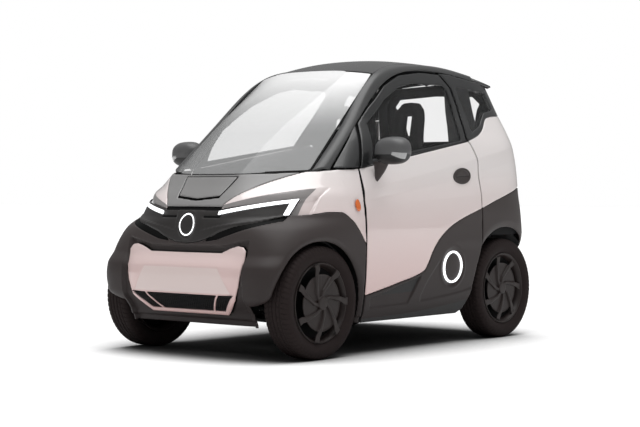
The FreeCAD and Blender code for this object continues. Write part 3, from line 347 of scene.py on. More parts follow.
CASES = {1: ("c0", "e0", "e3"), 2: ("c1", "e1", "e0"), 4: ("c2", "e2", "e1"), 8: ("c3", "e3", "e2"),
         3: ("c0", "c1", "e1", "e3"), 6: ("c1", "c2", "e2", "e0"), 12: ("c2", "c3", "e3", "e1"),
         9: ("c3", "c0", "e0", "e2"), 7: ("c0", "c1", "c2", "e2", "e3"), 14: ("c1", "c2", "c3", "e3", "e0"),
         13: ("c2", "c3", "c0", "e0", "e1"), 11: ("c3", "c0", "c1", "e1", "e2"), 15: ("c0", "c1", "c2", "c3"),
         5: ("c0", "e0", "e1", "c2", "e2", "e3"), 10: ("c1", "e1", "e2", "c3", "e3", "e0")}


def trimmed(grid, inside):
    """Faces of a grid where a distance is positive. A cell that the outline crosses keeps the part
    inside it, and its new corners lie where the distance runs through nothing along the cell's edges."""
    rows, cols = inside.shape
    d = np.where(np.abs(inside) < 2e-5, 2e-5, inside)
    points = grid.reshape(-1, 3)
    flat = d.reshape(-1)
    ids = np.arange(rows * cols).reshape(rows, cols)

    def crossing(first, second):
        a, b = first.reshape(-1), second.reshape(-1)
        t = flat[a] / np.where(flat[a] == flat[b], 1, flat[a] - flat[b])
        t = np.clip(t, .02, .98)[:, None]
        return points[a] * (1 - t) + points[b] * t

    along = crossing(ids[:, :-1], ids[:, 1:])
    across = crossing(ids[:-1], ids[1:])
    base_along, base_across = len(points), len(points) + len(along)
    e_along = base_along + np.arange(len(along)).reshape(rows, cols - 1)
    e_across = base_across + np.arange(len(across)).reshape(rows - 1, cols)
    verts = np.concatenate([points, along, across])
    corner = {"c0": ids[:-1, :-1], "c1": ids[:-1, 1:], "c2": ids[1:, 1:], "c3": ids[1:, :-1],
              "e0": e_along[:-1], "e1": e_across[:, 1:], "e2": e_along[1:], "e3": e_across[:, :-1]}
    sign = d > 0
    code = (sign[:-1, :-1] * 1 + sign[:-1, 1:] * 2 + sign[1:, 1:] * 4 + sign[1:, :-1] * 8)
    faces = []
    for case, keys in CASES.items():
        at = code == case
        if at.any():
            faces += np.stack([corner[k][at] for k in keys], axis=1).tolist()
    return verts, faces


def make(name, verts, faces, slot, body, stands_for=(), material=None):
    """A mesh object from points and faces, with unused points dropped, on its body."""
    verts = np.asarray(verts, float).reshape(-1, 3)
    used = np.unique(np.concatenate([np.asarray(f) for f in faces])) if len(faces) else []
    lookup = np.full(len(verts), -1)
    lookup[used] = np.arange(len(used))
    kept = verts[used] + np.array([0, BACK, 0])
    mesh = bpy.data.meshes.new(name)
    mesh.from_pydata(kept.tolist(), [], [lookup[list(f)].tolist() for f in faces])
    mesh.validate()
    mesh.shade_smooth()
    piece = bpy.data.objects.new(name, mesh)
    bpy.context.scene.collection.objects.link(piece)
    mesh.materials.append(bpy.data.materials[material or slot])
    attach(piece, body)
    if stands_for:
        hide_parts(*stands_for)
    return piece


def facing(faces, verts, middle=HEART):
    """Faces turned so that they look away from the middle, judged on the one halfway down their list."""
    sample = faces[len(faces) // 2]
    a, b, c = (verts[k] for k in sample[:3])
    n = np.cross(b - a, c - a)
    return faces if np.dot(n, a - np.array(middle)) > 0 else [f[::-1] for f in faces]


def panel(name, grid, inside, slot, body="body", stands_for=(), wall=WALL, roll=ROLL, middle=HEART,
          s=1.0):
    """A sheet cut to its outline, its edge rolled inwards along a quarter circle, and given a wall."""
    grid = sided(grid, s)
    n = normals(grid, middle)
    if roll:
        share = np.clip(1 - np.clip(inside, 0, roll) / roll, 0, 1)
        grid = grid - n * (roll * (1 - np.sqrt(1 - share ** 2)))[..., None]
    verts, faces = trimmed(grid, inside)
    piece = make(name, verts, facing(faces, verts, middle), slot, body, stands_for)
    if wall:
        thick = piece.modifiers.new("wall", "SOLIDIFY")
        thick.thickness = wall
        thick.offset = -1
        thick.use_even_offset = False
    return piece


def sheet(name, grid, inside, slot, body="body", stands_for=(), middle=HEART, s=1.0):
    """A panel with no wall and no rolled edge, as a pane or a lining is."""
    return panel(name, grid, inside, slot, body, stands_for, 0, 0, middle, s)


def ring_faces(rows, cols, closed_rows=False, closed_cols=True):
    """Quads of a grid of points, joined end to end where it is closed."""
    i = np.arange(rows if closed_rows else rows - 1)
    j = np.arange(cols if closed_cols else cols - 1)
    i, j = np.meshgrid(i, j, indexing="ij")
    a, b = i * cols + j, i * cols + (j + 1) % cols
    c, d = ((i + 1) % rows) * cols + (j + 1) % cols, ((i + 1) % rows) * cols + j
    return np.stack([a, b, c, d], axis=-1).reshape(-1, 4).tolist()


def solid_grid(name, grid, slot, body, closed_rows=False, stands_for=(), material=None):
    """A closed tube-like surface from rows of rings, with flat caps on its ends."""
    rows, cols = grid.shape[:2]
    faces = ring_faces(rows, cols, closed_rows)
    if not closed_rows:
        faces += [list(range(cols))[::-1], list(range((rows - 1) * cols, rows * cols))]
    verts = grid.reshape(-1, 3)
    return make(name, verts, outward(verts, faces), slot, body, stands_for, material)


def outward(verts, faces):
    """Faces of a closed surface turned outwards, by the sign of the volume that they enclose."""
    volume = 0.0
    for f in faces:
        p = verts[list(f)]
        volume += np.sum(np.cross(p[1:-1], p[2:]) @ p[0]) if len(f) > 2 else 0.0
    return faces if volume > 0 else [list(f)[::-1] for f in faces]


def joined(*parts):
    """Several (points, faces) as one."""
    verts, faces, base = [], [], 0
    for v, f in parts:
        v = np.asarray(v, float).reshape(-1, 3)
        verts.append(v)
        faces += [[k + base for k in face] for face in f]
        base += len(v)
    return np.concatenate(verts), faces


# Finishes

def shade_of(name, description, default):
    return FloatVectorProperty(name=name, description=description, subtype="COLOR", size=3, default=default,
                               min=0, max=1)


class CarColours(bpy.types.PropertyGroup):
    """Colours of the car, as they look in plain light."""
    paint: shade_of("Paint", "White body paint", (.73, .685, .675))
    cladding: shade_of("Cladding", "Unpainted bumpers and arches", (.036, .031, .030))
    bonnet: shade_of("Bonnet", "Satin bonnet", (.185, .182, .180))
    roof: shade_of("Roof", "Gloss black roof and pillars", (.014, .0145, .015))
    wheel: shade_of("Wheel", "Wheel covers", (.018, .0125, .0115))
    lamp: shade_of("Lamp", "Light bars and lamp rings", (.92, .93, .95))


class CarSizes(bpy.types.PropertyGroup):
    """Sizes that set how the car is dressed."""
    tread_depth: FloatProperty(name="Tread depth", description="Depth of the tyre grooves", default=.0065,
                               min=.001, max=.012, subtype="DISTANCE", unit="LENGTH")
    tread_blocks: IntProperty(name="Tread blocks", description="Blocks round each tyre", default=68, min=20,
                              max=120)
    mesh_pitch: FloatProperty(name="Grille pitch", description="Spacing of the grille mesh", default=.0145,
                              min=.008, max=.04, subtype="DISTANCE", unit="LENGTH")
    lens: FloatProperty(name="Lens", description="Focal length on a 36 mm sensor", default=89.6, min=20,
                        max=300)


def colour(name):
    return tuple(getattr(bpy.context.scene.car_colours, name))


GRAIN_DEPTH = .0004


def fill(node, values):
    """Sets a node's inputs by name."""
    for socket, value in values.items():
        node.inputs[socket].default_value = value
    return node


def finish(name, base, rough=.5, metal=0.0, coat=0.0, coat_rough=.03, specular=.5, alpha=1.0,
           glow=0.0):
    """A plain surface finish, named for what it is on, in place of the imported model's of that name."""
    plain = bpy.data.materials.get(name)
    if plain:
        bpy.data.materials.remove(plain)
    made = bpy.data.materials.new(name)
    made.use_nodes = True
    shader = made.node_tree.nodes["Principled BSDF"]
    fill(shader, {"Base Color": base + (1.0,), "Roughness": rough, "Metallic": metal, "Coat Weight": coat,
                  "Coat Roughness": coat_rough, "Specular IOR Level": specular, "Alpha": alpha})
    if glow:
        fill(shader, {"Emission Color": base + (1.0,), "Emission Strength": glow})
    return made


def grained(made, scale, strength):
    """Fine moulded grain, as bump from noise on Object coordinates."""
    tree = made.node_tree
    place = tree.nodes.new("ShaderNodeTexCoord")
    noise = fill(tree.nodes.new("ShaderNodeTexNoise"), {"Scale": scale, "Detail": 3})
    bump = fill(tree.nodes.new("ShaderNodeBump"), {"Strength": strength, "Distance": GRAIN_DEPTH})
    tree.links.new(place.outputs["Object"], noise.inputs["Vector"])
    tree.links.new(noise.outputs["Fac"], bump.inputs["Height"])
    tree.links.new(bump.outputs["Normal"], tree.nodes["Principled BSDF"].inputs["Normal"])
    return made


def by_height(tree, source, ranges):
    """A node that runs from 0 to 1, or as the ranges say, with the height of a place."""
    place = tree.nodes.new("ShaderNodeTexCoord")
    split = tree.nodes.new("ShaderNodeSeparateXYZ")
    reach = fill(tree.nodes.new("ShaderNodeMapRange"), ranges)
    tree.links.new(place.outputs[source], split.inputs["Vector"])
    tree.links.new(split.outputs["Z"], reach.inputs["Value"])
    return reach.outputs["Result"]


def banded(made, low, high, low_z, high_z):
    """Colour that runs from low to high between two heights, on Object coordinates."""
    tree = made.node_tree
    share = by_height(tree, "Object", {"From Min": low_z, "From Max": high_z})
    ramp = tree.nodes.new("ShaderNodeMix")
    ramp.data_type = "RGBA"
    ramp.inputs[6].default_value = low + (1.0,)
    ramp.inputs[7].default_value = high + (1.0,)
    tree.links.new(share, ramp.inputs[0])
    tree.links.new(ramp.outputs[2], tree.nodes["Principled BSDF"].inputs["Base Color"])
    return made


def shaded(made, low, high, low_z, high_z):
    """Opacity that runs from low to high between two heights: painted reflection, the glass made more opaque
    where it would mirror the sky.
    """
    tree = made.node_tree
    share = by_height(tree, "Object", {"From Min": low_z, "From Max": high_z, "To Min": low, "To Max": high})
    tree.links.new(share, tree.nodes["Principled BSDF"].inputs["Alpha"])
    return made


def tinted(base, by):
    return tuple(a * b for a, b in zip(base, by))


class CAR_OT_finishes(bpy.types.Operator):
    """Make the finishes and put them on the nodes that stay as they are"""
    bl_idname = "car.finishes"
    bl_label = "Finishes"

    def execute(self, context):
        paint, cladding = colour("paint"), colour("cladding")
        # Painted shade: the white paint runs from a darker, warmer tint at z .22 up to its own colour at z
        # .95, standing in for the shade on the lower body.
        banded(finish("white_paint", paint, .32, coat=1.0, coat_rough=.04),
               tinted(paint, (.78, .54, .52)), paint, .22, .95)
        # Painted shade and painted light: the cladding runs from a darker, warmer tint at z .22 to a tint
        # lighter than its own colour at z .68, standing in for shade below and sky light above.
        banded(grained(finish("dark_cladding", cladding, .48, specular=.25), 900, .25),
               tinted(cladding, (.45, .34, .34)), tinted(cladding, (1.25, 1.2, 1.2)), .22, .68)
        grained(finish("bonnet_grey", colour("bonnet"), .42, coat=.35, coat_rough=.22), 1200, .08)
        finish("roof_black", colour("roof"), .26, coat=.15, coat_rough=.06)
        grained(finish("black_plastic", (.010, .010, .0105), .50, specular=.3), 800, .3)
        finish("deep_black", (.002, .002, .002), .65, specular=.1)
        grained(finish("lining", (.018, .018, .0185), .85, specular=.05), 700, .4)
        # Painted reflection: the windscreen glass gets lighter from z 1.12 to 1.42 and more opaque from z
        # 1.16 to 1.44, standing in for the sky mirrored in its upper part.
        shaded(banded(finish("clear_glass", (.5, .5, .5), .05, specular=.4),
                      (.46, .465, .465), (.84, .84, .84), 1.12, 1.42), .50, .92, 1.16, 1.44)
        finish("dark_glass", (.28, .28, .28), .06, alpha=.09, specular=.25)
        # Partly painted shade: the plate field is a darker copy of the paint, warmed like the painted shade
        # on the paint round it.
        finish("plate_white", tinted(paint, (.86, .76, .74)), .36, coat=.4, coat_rough=.1)
        # Painted shade: white paint darkened to a grey, for the sheet under the wing's tucked-in lower edge,
        # where the undercut is in shade.
        finish("strip_grey", tinted(paint, (.30, .30, .30)), .35, coat=.6)
        finish("pillar_grey", (.044, .0445, .045), .36, specular=.4, coat=.1, coat_rough=.3)
        banded(finish("mirror_shell", (.06, .06, .06), .40, specular=.4),
               (.007, .007, .007), (.085, .085, .086), 1.0065, 1.0085)
        finish("clear_strip", (.34, .34, .34), .12, coat=.8)
        finish("light_bar", colour("lamp"), .25, glow=1.25, coat=.5)
        grained(finish("lens_grey", (.022, .020, .0195), .40, specular=.3), 900, .15)
        finish("red_lens", (.42, .012, .010), .15, coat=.8)
        finish("amber_lens", (.62, .13, .018), .2, coat=.8)
        grained(finish("tyre_rubber", (.0175, .0122, .0118), .75, specular=.12), 700, .4)
        finish("wheel_brown", colour("wheel"), .42, specular=.25)
        grained(finish("chassis_black", (.010, .010, .010), .60, specular=.2), 300, .3)
        grained(finish("seat_cloth", (.016, .016, .0165), .85, specular=.1), 1500, .6)
        finish("battery_grey", (.08, .08, .085), .5)
        grained(finish("motor_metal", (.30, .30, .30), .45, metal=.8), 200, .3)
        finish("chrome_trim", (.75, .76, .78), .12, metal=1.0)
        finish("mirror_face", (.8, .82, .84), .02, metal=1.0)
        slots = {s["node"]: s["material_slot"] for s in frame["record"]["subparts"]}
        for node, piece in frame["nodes"].items():
            piece.data.materials.clear()
            piece.data.materials.append(bpy.data.materials[slots[node]])
        return {"FINISHED"}


# Front panels

def front_seams(grid):
    """Distances to the seams of the front skin, positive on the side that the name says."""
    x, y, z = np.moveaxis(grid, -1, 0)
    ax = np.abs(x)
    wing_x = curve([(b, a) for a, b in WING_EDGE], z)
    end_x = straight([(b, a) for a, b in BAND_END], z)
    arch = np.maximum(outside_arch(ARCH_FRONT, y, z), .430 - ax)
    return {"x": x, "y": y, "z": z, "ax": ax,
            "above_band": over_line(BAND_TOP, ax, z, smooth=False),
            "outside_wing": (ax - wing_x) * .8, "past_end": ax - end_x,
            "above_low": over_line(BAND_LOW + ((.600, .790),), ax, z, smooth=False),
            "above_arch_top": over_line(ARCH_TOP, y, z),
            "below_screen": -over_line(SCREEN_LINE, y, z, smooth=False),
            "ahead": POST_Y - y, "off_wheel": arch,
            "nose": to_polygon(x, z, mirrored(NOSE_PANEL))}


def arch_lip(grid, circle, away):
    """Moves the edge of a wheel arch inwards: a lip that curls in along a parabola."""
    y, z = grid[..., 1], grid[..., 2]
    d = np.clip(outside_arch(circle, y, z), 0, away)
    side = smooth_step(.40, .52, np.abs(grid[..., 0]))
    return pushed(grid, -.013 * (1 - d / away) ** 2 * side)


def lid_line():
    (x0, z0), (x1, z1) = LID
    return [(-x0, z0), (0, z0 - LID_DIP), (x0, z0), (x1, z1), (-x1, z1)]


def front_hole(x, y, z):
    """Distance inside the bonnet's hole: the lid's outline, and the same dropped to leave a slot along
    its front edge."""
    both = np.maximum(to_polygon(x, z, lid_line()), to_polygon(x, z + LID_SLOT, lid_line()))
    return only(y < -.8, both)


class CAR_OT_front_panels(bpy.types.Operator):
    """Wings, bonnet, lid, lamp band, bumper and nose panel, cut from one skin along its seams"""
    bl_idname = "car.front_panels"
    bl_label = "Front panels"

    def execute(self, context):
        skin = nose_grid(.158, .945)
        s = front_seams(skin)
        under = over_line(WING_CREASE, s["ax"], s["z"], False)
        tuck = np.where(s["ax"] < .56, np.clip(-under, 0, .06), 0) * .45
        wing = cut(np.maximum(s["above_band"], s["past_end"]), s["outside_wing"], s["above_arch_top"],
                   s["below_screen"], s["ahead"])
        tucked = pushed(skin, -tuck)
        fuel_flap = to_polygon(s["y"], s["z"], FLAP_LINE)
        groove = .0012 * np.clip(1 - np.abs(fuel_flap) / .0016, 0, 1) * (s["x"] > 0)
        n = normals(skin)
        panel("wing_skins", tucked - n * groove[..., None], wing, "white_paint", stands_for=("wings",))
        # Painted shade: a darkened sheet over the wing's tucked-under lower edge, standing in for the shade
        # of the undercut.
        strip = least(wing - .001, -under - .0005, .530 - s["ax"])
        sheet("wing_under_strip", tucked + n * .0004, strip, "strip_grey")
        lid = only(s["y"] < -.8, to_polygon(s["x"], s["z"], lid_line()))
        hole = front_hole(s["x"], s["y"], s["z"])
        bonnet = cut(s["above_band"], -s["outside_wing"], s["below_screen"], -hole + .0005)
        panel("bonnet_skin", skin, bonnet, "bonnet_grey", stands_for=("bonnet",), roll=.004)
        panel("bonnet_lid_skin", skin, lid - .0030, "bonnet_grey", "bonnet_lid_body", ("bonnet_lid",))
        slot = np.minimum(hole, .012 - to_polygon(s["x"], s["z"] - .002, lid_line()))
        sheet("lid_slot", pushed(skin, -.0085), np.minimum(slot, .80 - s["z"]), "deep_black")
        self.bumper(skin, s)
        self.lamp_band(skin, s)
        self.nose(skin, s)
        return {"FINISHED"}

    def bumper(self, skin, s):
        """Skin of the bumper and front arches: its top overhangs the nose panel, and the chin steps in."""
        over = np.minimum(-over_line(OVERHANG, s["ax"], s["z"], False), .410 - s["ax"])
        tuck = .018 * smooth_step(0, .0045, over) * (s["y"] < -.8)
        chin = .010 * smooth_step(0, .006, .193 - s["z"])
        skin = pushed(skin, -(tuck + chin))
        wedge = only(s["y"] < -.7, to_polygon(s["ax"], s["z"], WEDGE))
        inside = cut(-s["above_low"], -s["above_arch_top"], s["ahead"], -s["nose"], s["off_wheel"], -wedge)
        lipped = arch_lip(skin, ARCH_FRONT, .030)
        panel("front_bumper_skin", lipped, inside, "dark_cladding", stands_for=("front_bumper",), wall=.006,
              roll=.005)

    def lamp_band(self, skin, s):
        """The band between bonnet and bumper: a ledge runs down to the roundel, with a dark wedge pressed
        in below it, a field set back above it, and two slots beside the roundel."""
        tip = to_polygon(s["x"], s["z"], TIP_GAP)
        inside = cut(-s["above_band"], -s["past_end"], s["above_low"], -tip)
        ax, z = s["ax"], s["z"]
        wedge = to_polygon(ax, z, WEDGE)
        recess = smooth_step(-.001, .004, wedge)
        above = over_line(LEDGE, ax, z, False)
        field = smooth_step(0, .004, above) * smooth_step(.0, .03, ax - .070)
        slot = np.clip((.0050 - np.abs(z - .698)) / .003, 0, 1)
        slot *= smooth_step(.088, .094, ax) * (1 - smooth_step(.196, .202, ax))
        groove = np.clip((.0022 - np.abs(z - .714)) / .0015, 0, 1)
        groove += np.clip((.0018 - np.abs(z - .722)) / .0015, 0, 1)
        groove *= smooth_step(.088, .094, ax) * (1 - smooth_step(.182, .186, ax))
        oval = np.hypot(s["x"] / .9, z - .655)
        collar = .0035 * np.clip(1 - np.abs(oval - .068) / .008, 0, 1)
        depth = .0085 * recess + .0050 * field + .007 * slot + .002 * groove - collar
        panel("lamp_band_skin", pushed(skin, .0004 - depth), inside, "lens_grey", stands_for=("lamp_band",))
        sheet("band_wedges", pushed(skin, -.0068), only(s["y"] < -.7, wedge + .002), "deep_black")
        sheet("band_slots", pushed(skin, -.0052), slot * .004 - .002, "deep_black")
        sheet("bonnet_tip_gap", pushed(skin, -.0075), np.minimum(tip, s["z"] - .7305), "deep_black")

    def nose(self, skin, s):
        n = normals(skin)
        x, z = s["x"], s["z"]
        (x0, z0), (x1, z1) = GRILLE
        hole = to_polygon(x, z, [(-x0, z0), (x0, z0), (x1, z1), (-x1, z1)])
        bar_x = straight([(z1, .176), (z0, .246)], z)
        bars = .0065 - np.abs(np.abs(x) - bar_x) * .84
        inside = cut(s["nose"], np.maximum(-hole, bars))
        plate = to_polygon(x, z, PLATE_FIELD)
        field = .0020 * smooth_step(-.001, .003, plate)
        crown = .0016 * smooth_step(0, .05, s["nose"])
        sides = NOSE_SIDES * np.clip((np.abs(x) - .20) / .20, 0, 1) ** 2 * smooth_step(.23, .33, z)
        sides *= 1 - smooth_step(.46, .53, z)
        proud = skin + n * (crown - field - sides)[..., None]
        panel("nose_panel_skin", proud, inside, "white_paint", stands_for=("nose_panel",), roll=.006)
        # Partly painted shade: the plate field takes the darker, warmed copy of the paint.
        panel("plate_field", proud + n * .0006, np.minimum(plate - .0022, inside), "plate_white", wall=0,
              roll=.0005)
        size = bpy.context.scene.car_sizes
        backing = nose_grid(.225, .325, .012, .020)
        edge = to_polygon(backing[..., 0], backing[..., 2], GRILLE_BACK)
        edge = only(backing[..., 1] < -.9, edge)
        sheet("grille_back", backing, edge, "deep_black")
        self.mesh(size.mesh_pitch, x0, z0, x1, z1)

    def mesh(self, pitch, x0, z0, x1, z1):
        """Flattened honeycomb: zigzag strips side by side, each a ribbon that follows the nose."""
        parts = []
        rows = int((z0 - z1) / (pitch * .5)) + 1
        for k in range(rows + 1):
            z_mid = z1 + k * pitch * .5
            limit = x1 + (x0 - x1) * (z_mid - z1) / (z0 - z1) + .004
            xs = np.arange(-limit, limit, pitch / 4)
            phase = (np.round(xs / (pitch / 4)).astype(int) + 2 * (k % 2)) % 4
            lift = np.where((phase == 0) | (phase == 1), .22, -.22) * pitch
            zs = z_mid + lift * .5
            half = .0011
            strip = []
            for dz, back in ((half, .004), (half, .010), (-half, .010), (-half, .004)):
                z = zs + dz
                a, b = curve(HALF, z) - back, NOSE_FROM - curve(NOSE, z) - back
                power = curve(NOSE_POWER, z)
                y = NOSE_FROM - b * (1 - np.clip(np.abs(xs) / a, 0, 1) ** power) ** (1 / power)
                strip.append(np.stack([xs, y, z], axis=-1))
            grid = np.array(strip).transpose(1, 0, 2)
            parts.append((grid, ring_faces(*grid.shape[:2])))
        verts, faces = joined(*parts)
        make("grille_mesh", verts, faces, "black_plastic", "body", ("lower_grille",))


PLATE_FIELD = [(-.252, .449), (.252, .449), (.332, .322), (-.332, .322)]
GRILLE_BACK = [(-.36, .322), (.36, .322), (.262, .228), (-.262, .228)]
FLAP_LINE = [(-.602, .868), (-.492, .874), (-.484, .806), (-.540, .800)]


# Roof, screen and side frames

SCREEN_BASE = [(0, -.936, .908), (.170, -.915, .909), (.330, -.836, .914), (.468, -.719, .922)]
SCREEN_MID = [(0, -.580, 1.204), (.150, -.566, 1.204), (.300, -.512, 1.202), (.430, -.410, 1.192)]
SCREEN_TOP = [(0, -.190, 1.468), (.130, -.183, 1.467), (.260, -.155, 1.461), (.386, -.104, 1.447)]
ROOF_EDGE = [(.386, -.104, 1.447), (.350, .150, 1.508), (.345, .400, 1.520), (.352, .640, 1.508),
             (.370, .800, 1.482)]
ROOF_MIDDLE = [(-.190, 1.468), (.120, 1.538), (.390, 1.552), (.640, 1.546), (.820, 1.522)]
PILLAR_OUT = [(.527, -.642, .929), (.484, -.335, 1.212), (.437, -.095, 1.385), (.412, .082, 1.455),
              (.404, .285, 1.485), (.402, .560, 1.478), (.408, .800, 1.449)]
PILLAR_IN = [(.468, -.719, .922), (.429, -.410, 1.190)] + ROOF_EDGE
SPOILER = [[(0, .829, 1.519), (.130, .827, 1.515), (.250, .820, 1.503), (.340, .811, 1.487),
            (.385, .808, 1.471), (.410, .807, 1.449)],
           [(0, .925, 1.500), (.130, .922, 1.496), (.250, .914, 1.484), (.350, .902, 1.466),
            (.400, .893, 1.452), (.418, .887, 1.440)],
           [(0, 1.010, 1.474), (.130, 1.007, 1.470), (.250, .998, 1.460), (.360, .982, 1.446),
            (.405, .970, 1.436), (.424, .961, 1.428)]]
RAIL_LINE = ((.300, 1.486), (.560, 1.477), (.800, 1.448), (1.100, 1.424))
QUARTER_GLASS = [(.640, 1.172), (.590, 1.150), (.590, 1.405), (.880, 1.385), (.905, 1.290), (.790, 1.268),
                 (.690, 1.190)]
QUARTER_SHADE = ((1.10, .655), (1.227, .674), (1.364, .707), (1.44, .722))
TAILGATE = [(0, .862), (.430, .862), (.462, .980), (.462, 1.090), (.435, 1.220), (.398, 1.380), (.393, 1.430),
            (.360, 1.440), (.250, 1.452), (0, 1.462)]
TAIL_WINDOW = [(0, 1.120), (.380, 1.120), (.372, 1.230), (.338, 1.370), (.300, 1.390), (0, 1.402)]


def edge_distance(grid):
    """Distance of each point from the nearest of the grid's four borders, along its lines."""
    found = []
    for axis in (0, 1):
        step = np.linalg.norm(np.diff(grid, axis=axis), axis=-1)
        run = np.cumsum(step, axis=axis)
        pad = [(1, 0), (0, 0)] if axis == 0 else [(0, 0), (1, 0)]
        run = np.pad(run, pad)
        found += [run, run.max(axis=axis, keepdims=True) - run]
    return np.minimum.reduce(found) + 3e-5


class CAR_OT_cabin(bpy.types.Operator):
    """Windscreen, roof, side frames, rear pillars and fixed glass"""
    bl_idname = "car.cabin"
    bl_label = "Cabin"

    def execute(self, context):
        top = []
        for (x, y, z), (mid_y, mid_z) in zip(ROOF_EDGE, ROOF_MIDDLE):
            near_mid = (x * .55, mid_y + (y - mid_y) * .25, mid_z + (z - mid_z) * .27)
            top.append(whole([(0, mid_y, mid_z), near_mid, (x, y, z)]))
        roof = loft(top, 120, 100)
        panel("roof_skin", roof, edge_distance(roof), "roof_black",
              "body", ("roof",), FRAME_WALL, .004, CABIN_HEART)
        sheet("roof_lining", pushed(roof, -.0206, CABIN_HEART),
              edge_distance(roof) - .004, "lining", middle=CABIN_HEART)
        ridge = [((a[0] + b[0]) / 2 + .008, (a[1] + b[1]) / 2 - .006, (a[2] + b[2]) / 2 + .010)
                 for a, b in zip(PILLAR_IN, PILLAR_OUT)]
        frame_grid = loft([PILLAR_IN, ridge, PILLAR_OUT], 24, 260)
        for side, s in SIDES:
            over = sided(frame_grid, s)
            y, z = over[..., 1], over[..., 2]
            inside = least(edge_distance(over), -to_polygon(y, z, DOOR) - SHUT,
                           over_line(SCREEN_LINE, y, z, False) - .0010)
            panel("side_frame_skin_" + side, over, inside, "pillar_grey", wall=.024, roll=.004,
                  stands_for=("side_frames",) if s > 0 else (), middle=CABIN_HEART)
            seal = least(edge_distance(over) - .002, -to_polygon(y, z, DOOR) + .010,
                         over_line(SCREEN_LINE, y, z, False) - .003)
            sheet("side_frame_lining_" + side, pushed(over, -.0275, CABIN_HEART),
                  seal, "lining", middle=CABIN_HEART)
        screen = loft([whole(SCREEN_BASE), whole(SCREEN_MID), whole(SCREEN_TOP)], 90, 110)
        border = edge_distance(screen)
        panel("windscreen_pane", screen, border, "clear_glass", stands_for=("windscreen",), wall=0, roll=.001)
        sheet("windscreen_border", pushed(screen, .0004), np.minimum(.010 - border, border),
              "deep_black")
        self.rear_sides()
        return {"FINISHED"}

    def rear_sides(self):
        grid = tail_grid(1.03, 1.490)
        x, y, z = np.moveaxis(grid, -1, 0)
        door = to_polygon(y, z, DOOR)
        gate = only(y > BEHIND_Y, to_polygon(x, z, gate_room()))
        side = cut(over_line(KICK_UP, y, z), -door - SHUT, -over_line(RAIL_LINE, y, z, False),
                   -gate, y - POST_REAR_Y)
        glass = to_polygon(y, z, QUARTER_GLASS)
        panel("rear_pillar_skins", grid, np.minimum(side, -glass), "roof_black", stands_for=("rear_pillars",),
              wall=FRAME_WALL, roll=.003)
        lining = tail_grid(.58, 1.470, .009, .0245)
        a, b, c = np.moveaxis(lining, -1, 0)
        back = only(b > BEHIND_Y, to_polygon(a, c, gate_room()))
        window = only(np.abs(a) > .3, to_polygon(b, c, QUARTER_GLASS))
        inner = least(-back, -window, b - POST_REAR_Y, -over_line(RAIL_LINE, b, c, False) - .01,
                      -to_polygon(b, c, DOOR) + .008)
        sheet("rear_lining", lining, inner, "lining")
        pane = tail_grid(1.10, 1.440, inset=.003)
        panes = to_polygon(pane[..., 1], pane[..., 2], QUARTER_GLASS) + .004
        panes = only(np.abs(pane[..., 0]) > .30, panes)
        sheet("quarter_panes", pane, panes, "dark_glass", stands_for=("fixed_glass",))
        shade = pushed(pane, -.0012)
        front = straight(QUARTER_SHADE, shade[..., 2]) - shade[..., 1]
        sheet("quarter_pane_border", shade, np.minimum(panes, front), "lining")
        corner = ((-.622, .938), (-.484, .944), (-.392, 1.158), (-.380, 1.175))
        for side_name, s in SIDES:
            tri = window_grid(-.660, -.360, .920, 1.20, .002)
            cut_line = to_polygon(tri[..., 1], tri[..., 2], corner)
            panel("corner_pane_" + side_name, tri, cut_line, "roof_black", wall=.004, roll=0, s=s)


def gate_room():
    """Outline of the hole that the tailgate fills, open above it."""
    return mirrored([(0, .862)] + TAILGATE[1:7] + [(.393, 1.600), (0, 1.600)])


def window_x(y, z):
    """Half width of the window frame, drawn in towards the screen pillar by the square of the
    distance ahead."""
    t = np.clip((z - .940) / .260, 0, 1)
    ahead = np.clip(-y - (.450 + (.150 - .450) * t), 0, None) / .180
    return curve(HALF, z) - .006 - (.070 + (.030 - .070) * t) * ahead ** 2


def window_grid(y0, y1, z0, z1, inset):
    z, y = np.meshgrid(spaced(z0, z1, STEP), spaced(y0, y1, STEP), indexing="ij")
    return np.stack([window_x(y, z) - inset, y, z], axis=-1)


# Doors

WINDOW = ((-.372, .985), (-.318, 1.172), (-.120, 1.302), (.045, 1.376), (.188, 1.406), (.470, 1.408),
          (.497, 1.385), (.494, 1.290), (.462, 1.102))
PANE_SHADE = ((.95, .330), (1.086, .348), (1.345, .471), (1.42, .500))
RING = (.284, .416, .086, .076)
HANDLE = (.400, .906, .086, .044)
CRATER_R = .1125
CRATER_DEPTH = .0078
SCALLOP = [(-.428, .281), (-.023, .376), (.000, .383), (-.104, .236), (-.431, .228)]
MIRROR_AT = (.718, -.387, 1.024)
MIRROR_POWER = 2.5
MIRROR_SIDES = 64
# Place along the car and size of each ring of the mirror's housing
MIRROR_ROWS = ((-1.0, .22), (-.96, .42), (-.88, .60), (-.74, .76), (-.5, .89), (-.2, .965), (.15, .995),
               (.5, 1.0), (.78, .985), (.92, .955), (.97, .90))
MIRROR_ARM = [(.613, -.369, .872), (.623, -.373, .893), (.640, -.380, .925), (.655, -.386, .972)]
SWEEP = ((.003, .276), (.059, .355), (.116, .412), (.181, .470), (.272, .523), (.378, .566))
LOW_CREASE = ((-.440, .227), (-.103, .234), (.149, .250), (.333, .267), (.560, .300))


def door_grid():
    """The door's outer face: the flank, let in round the ring lamp with a smooth step at the rim."""
    grid = flank_grid(-.480, .572, .155, 1.115)
    away = np.hypot(grid[..., 1] - RING[0], grid[..., 2] - RING[1])
    grid[..., 0] -= CRATER_DEPTH * smooth_step(0, .24, np.clip(1 - away / CRATER_R, 0, 1))
    return grid


